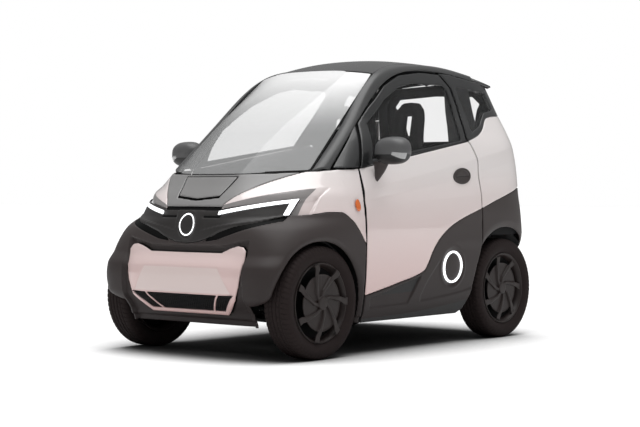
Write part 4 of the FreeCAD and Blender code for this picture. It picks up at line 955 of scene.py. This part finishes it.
def recess_depth(y, z):
    """What is pressed into the door's lower cladding: a long scallop, deepest under its upper edge and
    running out towards its lower one, and a field round the crater behind a swept line."""
    away = np.hypot(y - RING[0], z - RING[1])
    low = curve(LOW_CREASE, y)
    rise = np.clip((z - low) / .100, 0, 1)
    depth = .0095 * smooth_step(0, .006, to_polygon(y, z, SCALLOP)) * (.25 + .75 * rise)
    behind = (y - curve([(b, a) for a, b in SWEEP], z)) * .8
    field = smooth_step(0, .004, behind) * smooth_step(0, .012, z - low)
    field = field * smooth_step(0, .012, away - CRATER_R)
    under = np.clip((low - z) / .070, 0, 1)
    return depth + .0032 * field * (1 - smooth_step(.50, .56, z)) + .012 * under ** 1.5


class CAR_OT_doors(bpy.types.Operator):
    """Door shells, painted skins, window frames, glass, ring lamps, handles and mirrors"""
    bl_idname = "car.doors"
    bl_label = "Doors"

    def execute(self, context):
        for side, s in SIDES:
            for make_part in (self.skin, self.frame, self.ring, self.handle, self.mirror):
                make_part(side, "door_" + side, s)
        return {"FINISHED"}

    def skin(self, side, body, s):
        grid = door_grid()
        y, z = grid[..., 1], grid[..., 2]
        outline = to_polygon(y, z, DOOR)
        above = over_line(CLAD_LINE, y, z)
        below_belt = -over_line(BELT, y, z, False)
        white = cut(outline, above, below_belt - .0005)
        panel("door_skin_panel_" + side, grid, white, "white_paint", body, ("door_skin_" + side,), s=s)
        trim = grid.copy()
        trim[..., 0] -= .0062
        panel("door_trim_" + side, trim, np.minimum(outline, below_belt - .004) - .002, "black_plastic", body,
              ("door_shell_" + side,), wall=.042, roll=.003, s=s)
        lower = cut(outline, -above)
        depth = recess_depth(y, z)
        dark = grid.copy()
        dark[..., 0] += .0008 - depth
        panel("door_cladding_" + side, dark, lower, "dark_cladding", body, wall=.004, roll=.004, s=s)

    def frame(self, side, body, s):
        grid = window_grid(-.490, .560, .925, 1.480, -.0008)
        y, z = grid[..., 1], grid[..., 2]
        edge = least(to_polygon(y, z, DOOR), over_line(BELT, y, z, False) - .001,
                     -to_polygon(y, z, WINDOW))
        panel("window_frame_" + side, grid, edge, "roof_black", body, wall=FRAME_WALL, roll=.003, s=s,
              middle=DOOR_HEART)
        inner = window_grid(-.490, .560, .925, 1.480, .0200)
        sheet("window_lining_" + side, inner, edge - .0015, "lining", body, s=s,
              middle=DOOR_HEART)
        pane = window_grid(-.400, .520, .950, 1.430, .011)
        y, z = pane[..., 1], pane[..., 2]
        sheet("door_pane_" + side, pane, np.minimum(to_polygon(y, z, WINDOW) + .003,
                                                    over_line(BELT, y, z, False) + .01), "dark_glass", body,
              ("door_glass_" + side,), s=s, middle=DOOR_HEART)
        rear = np.minimum(to_polygon(y, z, WINDOW) + .003, y - straight(PANE_SHADE, z))
        shaded = pane - np.array([.0012, 0, 0])
        sheet("door_pane_border_" + side, shaded, rear, "lining", body, s=s,
              middle=DOOR_HEART)

    def ring(self, side, body, s):
        """Lamp ring: a rounded band round a blank dark disc, turned about the door's own slope."""
        y0, z0, big, small = RING
        mid, wide = (big + small) / 2, (big - small) / 2 + .0006
        around, across = np.meshgrid(ROUND, np.linspace(0, 2 * np.pi, 17)[:-1], indexing="ij")
        square = superellipse(across, 4)[2]
        r = mid + wide * square * np.cos(across)
        y, z = y0 + r * np.cos(around), z0 + r * np.sin(around)
        grid = np.stack([half_width(y, z) - .0035 + .0068 * square * np.sin(across), y, z], axis=-1)
        grid = sided(grid, s)
        solid_grid("ring_lamp_" + side, grid, "light_bar", body, closed_rows=True)
        rows = np.linspace(0, 1, 12)
        angle, share = np.meshgrid(ROUND, rows, indexing="xy")
        r = share * small
        y, z = y0 + r * np.cos(angle), z0 + r * np.sin(angle)
        disc = np.stack([half_width(y, z) - .0062 + .0035 * (1 - share ** 4), y, z], axis=-1)
        disc = sided(disc, s)
        faces = ring_faces(len(rows), len(ROUND))
        verts = disc.reshape(-1, 3)
        make("ring_disc_" + side, verts, facing(faces, verts), "dark_cladding", body)

    def handle(self, side, body, s):
        """Oval cup let into the skin: the depth follows an ellipse, with a pull across its upper half."""
        y0, z0, wide, tall = HANDLE
        grid = flank_grid(y0 - wide * 1.1, y0 + wide * 1.1, z0 - tall * 1.3, z0 + tall * 1.3, .0022)
        y, z = grid[..., 1], grid[..., 2]
        tilt = .06
        u = (y - y0) * math.cos(tilt) + (z - z0) * math.sin(tilt)
        v = -(y - y0) * math.sin(tilt) + (z - z0) * math.cos(tilt)
        radial = np.sqrt((u / wide) ** 2 + (v / tall) ** 2)
        inside = (1 - radial) * tall
        rim = np.clip(1 - np.abs(radial - .93) / .07, 0, 1)
        cup = smooth_step(0, .25, .86 - radial)
        pull = smooth_step(-.10, .04, v / tall) * cup
        lift = .0042 * rim - .0015 * cup + .0060 * pull + .0005
        slot = np.clip(1 - np.abs(v / tall + .06) / .05, 0, 1) * (np.abs(u) < wide * .74)
        grid[..., 0] += np.clip(lift - .004 * slot, -.0006, .0085) + .0012
        panel("handle_cup_" + side, grid, inside, "dark_cladding", body, ("door_handle_" + side,), wall=.0015,
              roll=0, s=s)
        grid[..., 0] += .0006
        sheet("handle_slot_" + side, grid, slot * .01 - .004, "deep_black", body, s=s)

    def mirror(self, side, body, s):
        """Housing: rings of a superellipse along the car, widest towards the glass, with a clear strip
        low on its outer side. A wedge-shaped arm carries it."""
        x0, y0, z0 = MIRROR_AT
        back, size = np.array(MIRROR_ROWS).T
        angle = np.linspace(0, 2 * np.pi, MIRROR_SIDES + 1)[:-1]
        c, sn = np.cos(angle), np.sin(angle)
        r = superellipse(angle, MIRROR_POWER)[2]
        lean = (back + 1) * .006
        grid = np.stack([x0 + size[:, None] * .098 * (r * c)[None, :] - .010 * (1 - size[:, None]),
                         np.broadcast_to((y0 + .046 * back)[:, None], (len(back), MIRROR_SIDES)),
                         z0 + size[:, None] * .070 * (r * sn)[None, :] + lean[:, None] * .4], axis=-1)
        grid = sided(grid, s)
        solid_grid("mirror_housing_" + side, grid, "dark_cladding", body, stands_for=("mirror_" + side,),
                   material="mirror_shell")
        turns = np.radians(np.linspace(-36, -10, 14))
        steps, turns = np.meshgrid(np.linspace(-.96, .05, 30), turns, indexing="ij")
        span = np.interp(steps, back, size)
        r2 = superellipse(turns, MIRROR_POWER)[2]
        strip = np.stack([x0 + span * .0995 * r2 * np.cos(turns) - .010 * (1 - span),
                          y0 + .046 * steps - .0012,
                          z0 + span * .0712 * r2 * np.sin(turns) + (steps + 1) * .0024], axis=-1)
        strip = sided(strip, s)
        edge = edge_distance(strip)
        panel("mirror_strip_" + side, strip, edge, "clear_strip", body, wall=0, roll=.0015,
              middle=(s * x0, y0 + .05, z0))
        face = grid[-1]
        centre = face.mean(axis=0)
        rings = np.array([centre + (face - centre) * k for k in (.93, .6, .3, .02)])
        rings[..., 1] += .0012
        faces = ring_faces(4, MIRROR_SIDES)
        make("mirror_glass_" + side, rings.reshape(-1, 3),
             facing(faces, rings.reshape(-1, 3), (centre[0], y0 - .5, z0)), "roof_black", body,
             material="mirror_face")
        share = np.linspace(0, 1, 24)
        path = spline(MIRROR_ARM, 24)
        wide = np.interp(share, [0, .12, .45, 1], [.004, .012, .028, .050])[:, None]
        deep = np.interp(share, [0, .12, 1], [.004, .010, .018])[:, None]
        arm = np.stack([path[:, :1] + wide * c, path[:, 1:2] + deep * sn, path[:, 2:] + 0 * c], axis=-1)
        arm = sided(arm, s)
        solid_grid("mirror_arm_" + side, arm, "dark_cladding", body)


# Wheels and tyres

TRACK_HALF = .546
AXLE = .810
TYRE_R = .2785
BLADES = 7
FIRST_BLADE = 13.0
BLADE = ((.030, -42, .013), (.060, -26, .014), (.090, -14, .015), (.137, -6, .024), (.170, 0, .034))
FAN_R = .141
RIM = ((-.064, .197), (-.0585, .1972), (-.056, .189), (-.030, .180), (.030, .180), (.056, .1890),
       (.0585, .1972), (.0625, .1978), (.0655, .1955), (.0655, .1925), (.0640, .1900), (.034, .1738),
       (-.034, .1738), (-.064, .1915))
HUB = ((-.006, .0345), (.0005, .0340), (.0030, .0315), (.0035, .0270), (.0030, .0010))
PAN = ((.030, .1745), (.018, .150), (.016, .060), (.016, .001))
GROOVES = ((-.034, .0042), (-.0115, .0040), (.0115, .0040), (.034, .0042))      # place and half width
TURNS = 128               # even steps round a turned piece
COVERS = {"front": (.076, .193), "rear": (.058, .1825)}       # how far out each cover sits, blades' reach
TYRE_HALF = ((.054, .1893), (.0595, .1985), (.067, .2100), (.0738, .2220), (.0770, .2340), (.0775, .2430),
             (.0758, .2550), (.0705, .2655), (.0620, .2738), (.0500, .2772), (.0320, .2785))


def blade_outline(reach):
    """A blade from its rows of (radius, degrees, width): each half width is laid off square to the
    blade's own run."""
    rows = np.array(BLADE + ((reach, 0, .038),))
    a = np.radians(rows[:, 1])
    line = np.stack([rows[:, 0] * np.sin(a), rows[:, 0] * np.cos(a)], axis=-1)
    way = np.concatenate([line[1:2] - line[:1], line[2:] - line[:-2], line[-1:] - line[-2:-1]])
    way /= np.linalg.norm(way, axis=1, keepdims=True)
    square = np.stack([-way[:, 1], way[:, 0]], axis=-1) * rows[:, 2:] / 2
    return np.concatenate([line + square, (line - square)[::-1]])


def inner_middle(y, s):
    """A point on the axle, well inside of the wheel."""
    return s * (TRACK_HALF - .3), y, TYRE_R


class CAR_OT_wheels(bpy.types.Operator):
    """Tyres with their tread, and wheels with seven swept blades"""
    bl_idname = "car.wheels"
    bl_label = "Wheels"

    def execute(self, context):
        for end, y in (("front", -AXLE), ("rear", AXLE)):
            for side, s in SIDES:
                body = "road_wheel_%s_%s" % (end, side)
                name = "%s_%s" % (end, side)
                self.tyre(name, body, y, s)
                self.wheel(name, body, y, s, end)
        return {"FINISHED"}

    def place(self, grid, y, s):
        """From (across, round, up) about the axle to the car."""
        out = grid.copy()
        out[..., 0] = s * (grid[..., 0] + TRACK_HALF)
        out[..., 1] += y
        out[..., 2] += TYRE_R
        return out

    def tyre(self, name, body, y, s):
        """The profile turned about the axle. Grooves run round at fixed places across the tread, and
        slots cross its shoulders at even angles, both as steps in the radius."""
        sizes = bpy.context.scene.car_sizes
        half = spline([(x, r, 0) for x, r in TYRE_HALF], 44)[:, :2]
        flat = np.stack([np.linspace(.030, 0, 18)[1:], np.full(17, TYRE_R)], axis=-1)
        line = np.concatenate([half, flat])
        profile = np.concatenate([line, line[-2::-1] * np.array([-1, 1])])
        x, r = profile[:, 0], profile[:, 1]
        steps = sizes.tread_blocks * 8
        angle = np.linspace(0, 2 * np.pi, steps + 1)[:-1]
        xx, aa = np.meshgrid(x, angle, indexing="xy")
        rr = np.broadcast_to(r, xx.shape).copy()
        tread = smooth_step(.262, .2745, rr)
        for at, wide in GROOVES:
            rr -= sizes.tread_depth * np.clip(1.6 - 1.6 * np.abs(xx - at) / wide, 0, 1) * tread
        lean = aa * sizes.tread_blocks / (2 * np.pi) + np.abs(xx) * 9
        slot = np.clip(1.5 - np.abs(lean - np.round(lean)) / .085, 0, 1)
        shoulder = smooth_step(.040, .043, np.abs(xx)) * smooth_step(.252, .262, rr)
        inner = smooth_step(.013, .015, np.abs(xx)) * (1 - smooth_step(.028, .030, np.abs(xx))) * tread
        rr -= sizes.tread_depth * .75 * slot * np.maximum(shoulder, inner * .7)
        grid = np.stack([xx, rr * np.sin(aa), rr * np.cos(aa)], axis=-1)
        grid = self.place(grid, y, s)
        verts = grid.reshape(-1, 3)
        faces = ring_faces(len(angle), len(x), closed_rows=True)
        make("tyre_skin_" + name, verts, outward(verts, faces), "tyre_rubber", body, ("tyre_" + name,))

    def wheel(self, name, body, y, s, end):
        """Rim, bladed cover, hub disc and a dark pan behind them."""
        face, reach = COVERS[end]
        self.turned("rim_" + name, np.array(RIM), body, y, s, "wheel_brown", ("wheel_" + name,), closed=True)
        self.cover(name, body, y, s, face, reach)
        self.turned("hub_" + name, np.array(HUB) + np.array([face, 0]), body, y, s, "wheel_brown")
        self.turned("pan_" + name, np.array(PAN), body, y, s, "deep_black")

    def turned(self, name, line, body, y, s, slot, stands_for=(), closed=False):
        """A line of (across, radius) turned about the axle."""
        angle = np.linspace(0, 2 * np.pi, TURNS + 1)[:-1]
        xx, rr = (np.broadcast_to(line[:, k], (TURNS, len(line))) for k in (0, 1))
        grid = np.stack([xx, rr * np.sin(angle)[:, None], rr * np.cos(angle)[:, None]], axis=-1)
        grid = self.place(grid, y, s)
        verts = grid.reshape(-1, 3)
        faces = ring_faces(TURNS, len(line), closed_rows=True, closed_cols=closed)
        if closed:
            faces = outward(verts, faces)
        else:
            faces = facing(faces, verts, inner_middle(y, s))
        make(name, verts, faces, slot, body, stands_for)

    def cover(self, name, body, y, s, face, reach):
        """Blades and fans in one sheet over radius and angle: its height steps down from the blades to
        the fans, and it ends where a blade or a fan does."""
        r = np.linspace(.004, reach + .002, 86)
        a = np.linspace(0, 2 * np.pi, BLADES * 90 + 1)
        rr, aa = np.meshgrid(r, a, indexing="xy")
        outline = blade_outline(reach)
        near = np.full(rr.shape, -1.0)
        for k in range(BLADES):
            turn = aa - math.radians(360 / BLADES * k - FIRST_BLADE)
            near = np.maximum(near, to_polygon(rr * np.sin(turn), rr * np.cos(turn), outline))
        height = .0088 * smooth_step(-.0035, .0005, near)
        ridge = .0016 * smooth_step(0, .004, near) * smooth_step(.05, .10, rr)
        ridge = ridge * (1 - smooth_step(.12, .15, rr))
        fan_lip = .0020 * smooth_step(FAN_R - .006, FAN_R - .002, rr)
        x = face - .0083 + np.maximum(height + ridge, fan_lip * (near < -.003))
        inside = np.maximum(near, FAN_R - rr)
        grid = self.place(np.stack([x, rr * np.sin(aa), rr * np.cos(aa)], axis=-1), y, s)
        panel("cover_" + name, grid, inside, "wheel_brown", body, wall=.006, roll=.0015,
              middle=inner_middle(y, s))


# Lamps

class CAR_OT_lamps(bpy.types.Operator):
    """Light bars, blank roundel, tail lamps and side indicators"""
    bl_idname = "car.lamps"
    bl_label = "Lamps"

    def execute(self, context):
        skin = nose_grid(.580, .800, .003)
        x, y, z = np.moveaxis(skin, -1, 0)
        ax = np.abs(x)
        bar = to_polygon(ax, z, LIGHT_BAR)
        proud = pushed(skin, .0045 + .0035 * np.sqrt(np.clip(bar / .005, 0, 1)))
        panel("light_bars", proud, bar, "light_bar", stands_for=("headlamps",), wall=.008, roll=0)
        r = np.hypot(x / .92, z - .655)
        ring = .0036 - np.abs(r - .0515)
        front = np.where(y < -.9, 1, -1)
        proud = pushed(skin, .0065 + .0025 * np.sqrt(np.clip(ring / .0036, 0, 1)))
        panel("roundel_ring", proud, np.minimum(ring, front), "light_bar", wall=.006, roll=0)
        disc = np.minimum(.0490 - r, front)
        panel("roundel_disc", pushed(skin, .0052), disc, "lens_grey", wall=.004, roll=0)
        for side, s in SIDES:
            self.indicator(side, s)
        self.tail_lamps()
        return {"FINISHED"}

    def indicator(self, side, s):
        grid = flank_grid(-.580, -.495, .705, .800, .0018)
        y, z = grid[..., 1], grid[..., 2]
        radial = np.sqrt(((y + .536) / .0185) ** 2 + ((z - .752) / .031) ** 2)
        dome = .0075 * np.sqrt(np.clip(1 - radial ** 2, 0, 1))
        grid[..., 0] += .0006 + dome
        panel("side_indicator_" + side, grid, (1 - radial) * .02, "amber_lens",
              stands_for=("wing_indicators",) if s > 0 else (), wall=.001, roll=0, s=s)

    def tail_lamps(self):
        grid = tail_grid(.840, 1.020, .003)
        x, y, z = np.moveaxis(grid, -1, 0)
        ax = np.abs(x)
        along = np.minimum(ax - .490, y - 1.062)
        inside = least(along, z - .850, 1.010 - z)
        proud = pushed(grid, .004 + .005 * np.sqrt(np.clip(inside / .012, 0, 1)))
        panel("tail_lamp_lenses", proud, inside, "red_lens", stands_for=("tail_lamps",), wall=.006, roll=0)


LIGHT_BAR = ((.189, .703), (.489, .762), (.484, .703), (.503, .703), (.511, .783), (.189, .722))


# Rear end

TAIL_CLEAR = [(0, 1.110), (.232, 1.110), (.250, 1.180), (.258, 1.247), (.280, 1.300), (.306, 1.333),
              (.262, 1.376), (0, 1.388)]


class CAR_OT_rear(bpy.types.Operator):
    """Quarter panels, rear bumper and tailgate"""
    bl_idname = "car.rear"
    bl_label = "Rear"

    def execute(self, context):
        grid = tail_grid(.158, 1.300)
        x, y, z = np.moveaxis(grid, -1, 0)
        door = -to_polygon(y, z, DOOR) - SHUT
        gate = only(y > BEHIND_Y, to_polygon(x, z, gate_room()))
        behind = y - POST_REAR_Y
        above = over_line(CLAD_REAR, y, z)
        arch = np.maximum(outside_arch(ARCH_REAR, y, z), .43 - np.abs(x))
        quarter = cut(above, -over_line(KICK_UP, y, z), door, -gate, behind)
        panel("quarter_skins", grid, quarter, "white_paint", stands_for=("quarter_panels",), wall=FRAME_WALL)
        side = smooth_step(.45, .55, np.abs(x))
        d = np.clip(outside_arch(ARCH_REAR, y, z), 0, .045)
        lip = .010 * (1 - d / .045) ** 2 * side
        lower = pushed(grid, -lip)
        inside = cut(-above, door, arch, behind, -gate)
        panel("rear_bumper_skin", lower, inside, "dark_cladding", "body", ("rear_bumper",), FRAME_WALL, .005)
        self.gate()
        return {"FINISHED"}

    def gate(self):
        """Tailgate: white below the window, black round it, with the spoiler over it and a pane whose
        border is blacked out."""
        grid = tail_grid(.850, 1.470)
        x, y, z = np.moveaxis(grid, -1, 0)
        behind = only(y > BEHIND_Y, to_polygon(x, z, mirrored(TAILGATE)) - SHUT)
        window = only(y > BEHIND_Y, to_polygon(x, z, mirrored(TAIL_WINDOW)))
        split = z - 1.085
        panel("gate_lower_skin", grid, cut(behind, -split, -window), "white_paint",
              "tailgate_body", ("tailgate",), wall=FRAME_WALL)
        panel("gate_upper_skin", grid, cut(behind, split, -window), "roof_black",
              "tailgate_body", wall=FRAME_WALL)
        inner = tail_grid(.850, 1.470, .009, .0210)
        a, b, c = np.moveaxis(inner, -1, 0)
        room = only(b > BEHIND_Y, to_polygon(a, c, mirrored(TAILGATE)) - .012)
        sheet("gate_lining", inner, np.minimum(room, -to_polygon(a, c, mirrored(TAIL_WINDOW))), "lining",
              "tailgate_body")
        pane = tail_grid(1.10, 1.42, inset=.004)
        a, b, c = np.moveaxis(pane, -1, 0)
        whole_pane = only(b > BEHIND_Y, to_polygon(a, c, mirrored(TAIL_WINDOW)) + .004)
        clear = only(b > BEHIND_Y, to_polygon(a, c, mirrored(TAIL_CLEAR)))
        sheet("tail_pane", pane, whole_pane, "dark_glass", "tailgate_body", ("tailgate_glass",))
        sheet("tail_pane_border", pane - np.array([0, .0012, 0]), np.minimum(whole_pane, -clear), "lining",
              "tailgate_body")
        wing = loft([whole(r) for r in SPOILER], 40, 140)
        seal = loft([whole([(x, y - .050, z - .022) for x, y, z in SPOILER[0]]),
                     whole([(x, y + .030, z - .034) for x, y, z in SPOILER[0]])], 6, 60)
        sheet("spoiler_seal", seal, edge_distance(seal), "lining", "tailgate_body", middle=CABIN_HEART)
        panel("spoiler_skin", wing, edge_distance(wing), "roof_black", "tailgate_body", wall=.022, roll=.006,
              middle=(0, .9, .9))


# Interior

SEAT_X = .255
BACK_ROWS = ((.42, .218, .040, .212), (.60, .226, .046, .252), (.80, .224, .044, .298),
             (.95, .205, .038, .334), (1.03, .160, .034, .354), (1.07, .118, .032, .364),
             (1.13, .104, .031, .378),
             (1.22, .098, .031, .396), (1.27, .088, .029, .406), (1.30, .066, .024, .412))
REST_SLOT = (.0215, 1.130, 1.240)


class CAR_OT_seats(bpy.types.Operator):
    """Seat backs with the head rest in one and its slot, and crowned cushions"""
    bl_idname = "car.seats"
    bl_label = "Seats"

    def execute(self, context):
        for side, s in SIDES:
            self.back(side, s)
            self.cushion(side, s)
        return {"FINISHED"}

    def back(self, side, s):
        """Front and back sheets that close round the outline as an ellipse does, with an upright slot
        let through the head rest."""
        z, x = np.meshgrid(np.linspace(.43, 1.318, 150), np.linspace(-.235, .235, 90), indexing="ij")
        rows = np.array(BACK_ROWS)
        heights = np.clip(z, rows[0, 0], rows[-1, 0])
        half, thick, middle = (curve(rows[:, (0, k)], heights) for k in (1, 2, 3))
        top = np.clip((z - 1.30) / .018, 0, 1)
        half = half * np.sqrt(1 - top ** 2)
        w, low, high = REST_SLOT
        slot = least(w - np.abs(x), z - low, high - z)
        inside = least(half - np.abs(x), z - .432, -slot)
        swell = np.sqrt(1 - (1 - np.clip(inside / .030, 0, 1)) ** 2)
        rib = .004 * np.cos(z * 2 * np.pi / .085) * smooth_step(.03, .06, inside)
        rib = rib * (1 - smooth_step(.92, .98, z))
        for face, way in (("front", -1), ("rear", 1)):
            y = middle + way * thick * swell + (rib if way < 0 else 0)
            grid = np.stack([x + s * SEAT_X, y, z], axis=-1)
            piece = sheet("seat_%s_%s" % (face, side), grid, inside, "seat_cloth",
                          middle=(s * SEAT_X, .36 - way, .8),
                          stands_for=("seats",) if s > 0 and way < 0 else ())

    def cushion(self, side, s):
        """A closed crowned form: a superellipse in plan, with two sewn channels across."""
        y0, rows, cols = -.015, 40, 96
        share = np.linspace(-1, 1, rows)
        angle = np.linspace(0, 2 * np.pi, cols + 1)[:-1]
        c, sn = np.cos(angle), np.sin(angle)
        r = superellipse(angle, 5)[2]
        shrink = (1 - np.abs(share) ** 6) ** (1 / 2.2) * .98 + .02
        grid = np.stack([s * SEAT_X + .222 * shrink[:, None] * (r * c)[None],
                         y0 + .245 * shrink[:, None] * (r * sn)[None],
                         .385 + .062 * np.broadcast_to(share[:, None], (rows, cols))], axis=-1)
        crown = .014 * np.clip(1 - ((grid[..., 0] - s * SEAT_X) / .222) ** 2, 0, 1)
        seam = .006 * sum(np.exp(-((grid[..., 1] - at) / .008) ** 2) for at in (-.10, .08))
        grid[..., 2] += (crown - seam) * (share[:, None] > .2)
        piece = solid_grid("seat_cushion_" + side, grid, "seat_cloth", "body")
        corners = ((-.20, -.24), (.20, -.24), (.20, .23), (-.20, .23))
        base = np.array([[(x + s * SEAT_X, y, z) for x, y in corners] for z in (.224, .320)])
        solid_grid("seat_base_" + side, base, "black_plastic", "body")


# Stage and camera

HORIZON = .17
ZENITH = .76
SUN = 2.5
SUN_WIDTH = 60.0
SUN_WAY = (-.05, .02, -1)
WHITE = (1, 1, 1, 1)
FLOOR_HALF = 60.0
FLOOR_SHADE = {"From Min": .30, "From Max": .74, "To Min": .10, "To Max": .93}
VIEW_ANGLES = (39.484, .8295, .1055)            # azimuth, pitch down and roll
VIEW_FROM = (5.5295, -6.7900, .8261)


class CAR_OT_stage(bpy.types.Operator):
    """Pale floor, soft light and the camera"""
    bl_idname = "car.stage"
    bl_label = "Stage"

    def execute(self, context):
        scene = context.scene
        scene.view_settings.view_transform = "Standard"
        self.floor()
        self.world(scene)
        self.overhead()
        self.camera(scene)
        return {"FINISHED"}

    def floor(self):
        mesh = bpy.data.meshes.new("floor")
        corners = [(x * FLOOR_HALF, y * FLOOR_HALF, 0) for x, y in ((-1, -1), (1, -1), (1, 1), (-1, 1))]
        mesh.from_pydata(corners, [], [(0, 1, 2, 3)])
        floor = bpy.data.objects.new("floor", mesh)
        bpy.context.scene.collection.objects.link(floor)
        white = finish("floor_white", (.93, .93, .93), .9, specular=.1)
        nodes, links = white.node_tree.nodes, white.node_tree.links
        near = fill(nodes.new("ShaderNodeAmbientOcclusion"), {"Distance": 1.2, "Color": WHITE})
        reach = fill(nodes.new("ShaderNodeMapRange"), FLOOR_SHADE)
        links.new(near.outputs["AO"], reach.inputs["Value"])
        links.new(reach.outputs["Result"], nodes["Principled BSDF"].inputs["Base Color"])
        mesh.materials.append(white)

    def world(self, scene):
        """White for the camera and for what shows through glass; a soft dome for everything else."""
        world = bpy.data.worlds.new("studio")
        scene.world = world
        world.use_nodes = True
        nodes, links = world.node_tree.nodes, world.node_tree.links
        nodes.clear()
        path = nodes.new("ShaderNodeLightPath")
        white = fill(nodes.new("ShaderNodeBackground"), {"Color": WHITE, "Strength": 1.0})
        dome = fill(nodes.new("ShaderNodeBackground"), {"Color": WHITE})
        share = by_height(world.node_tree, "Generated", {"To Min": HORIZON, "To Max": ZENITH})
        links.new(share, dome.inputs["Strength"])
        blend = nodes.new("ShaderNodeMixShader")
        out = nodes.new("ShaderNodeOutputWorld")
        links.new(path.outputs["Is Camera Ray"], blend.inputs[0])
        links.new(dome.outputs[0], blend.inputs[1])
        links.new(white.outputs[0], blend.inputs[2])
        links.new(blend.outputs[0], out.inputs[0])

    def overhead(self):
        """One broad soft light, nearly straight above."""
        lamp = bpy.data.lights.new("overhead", "SUN")
        lamp.energy, lamp.angle = SUN, math.radians(SUN_WIDTH)
        holder = bpy.data.objects.new("overhead", lamp)
        holder.rotation_euler = Vector(SUN_WAY).to_track_quat("-Z", "Y").to_euler()
        bpy.context.scene.collection.objects.link(holder)

    def camera(self, scene):
        """Placed as the photograph's was: azimuth, pitch and roll fitted to the wheels and lamps."""
        sizes = scene.car_sizes
        az, pitch, roll = (math.radians(v) for v in VIEW_ANGLES)
        ahead = Vector((-math.sin(az) * math.cos(pitch), math.cos(az) * math.cos(pitch), -math.sin(pitch)))
        right = Vector((math.cos(az), math.sin(az), 0))
        up = right.cross(ahead)
        turned = right * math.cos(roll) + up * math.sin(roll)
        up = turned.cross(ahead)
        camera = bpy.data.cameras.new("camera")
        camera.sensor_width = 36
        camera.lens = sizes.lens
        holder = bpy.data.objects.new("camera", camera)
        place = Matrix((turned, up, -ahead)).transposed().to_4x4()
        place.translation = Vector(VIEW_FROM) + Vector((0, BACK, 0))
        holder.matrix_world = place
        scene.collection.objects.link(holder)
        scene.camera = holder


# Panel and registration

GROUPS = ("finishes", "front_panels", "cabin", "doors", "wheels", "lamps", "rear", "seats", "stage")


class CAR_PT_parts(bpy.types.Panel):
    """Lists the pieces of the car"""
    bl_label = "Microcar"
    bl_idname = "CAR_PT_parts"
    bl_space_type = "VIEW_3D"
    bl_region_type = "UI"
    bl_category = "Microcar"

    def draw(self, context):
        for group in (context.scene.car_colours, context.scene.car_sizes):
            for name in group.__annotations__:
                self.layout.prop(group, name)
        for name in GROUPS:
            self.layout.operator("car." + name)


CLASSES = (CarColours, CarSizes, CAR_OT_finishes, CAR_OT_front_panels, CAR_OT_cabin, CAR_OT_doors,
           CAR_OT_wheels, CAR_OT_lamps, CAR_OT_rear, CAR_OT_seats, CAR_OT_stage, CAR_PT_parts)


def register():
    for item in CLASSES:
        bpy.utils.register_class(item)
    bpy.types.Scene.car_colours = PointerProperty(type=CarColours)
    bpy.types.Scene.car_sizes = PointerProperty(type=CarSizes)


def unregister():
    del bpy.types.Scene.car_sizes
    del bpy.types.Scene.car_colours
    for item in reversed(CLASSES):
        bpy.utils.unregister_class(item)


def main():
    register()
    for name in GROUPS:
        getattr(bpy.ops.car, name)()
    bpy.context.view_layer.update()


if __name__ == "__main__":
    main()
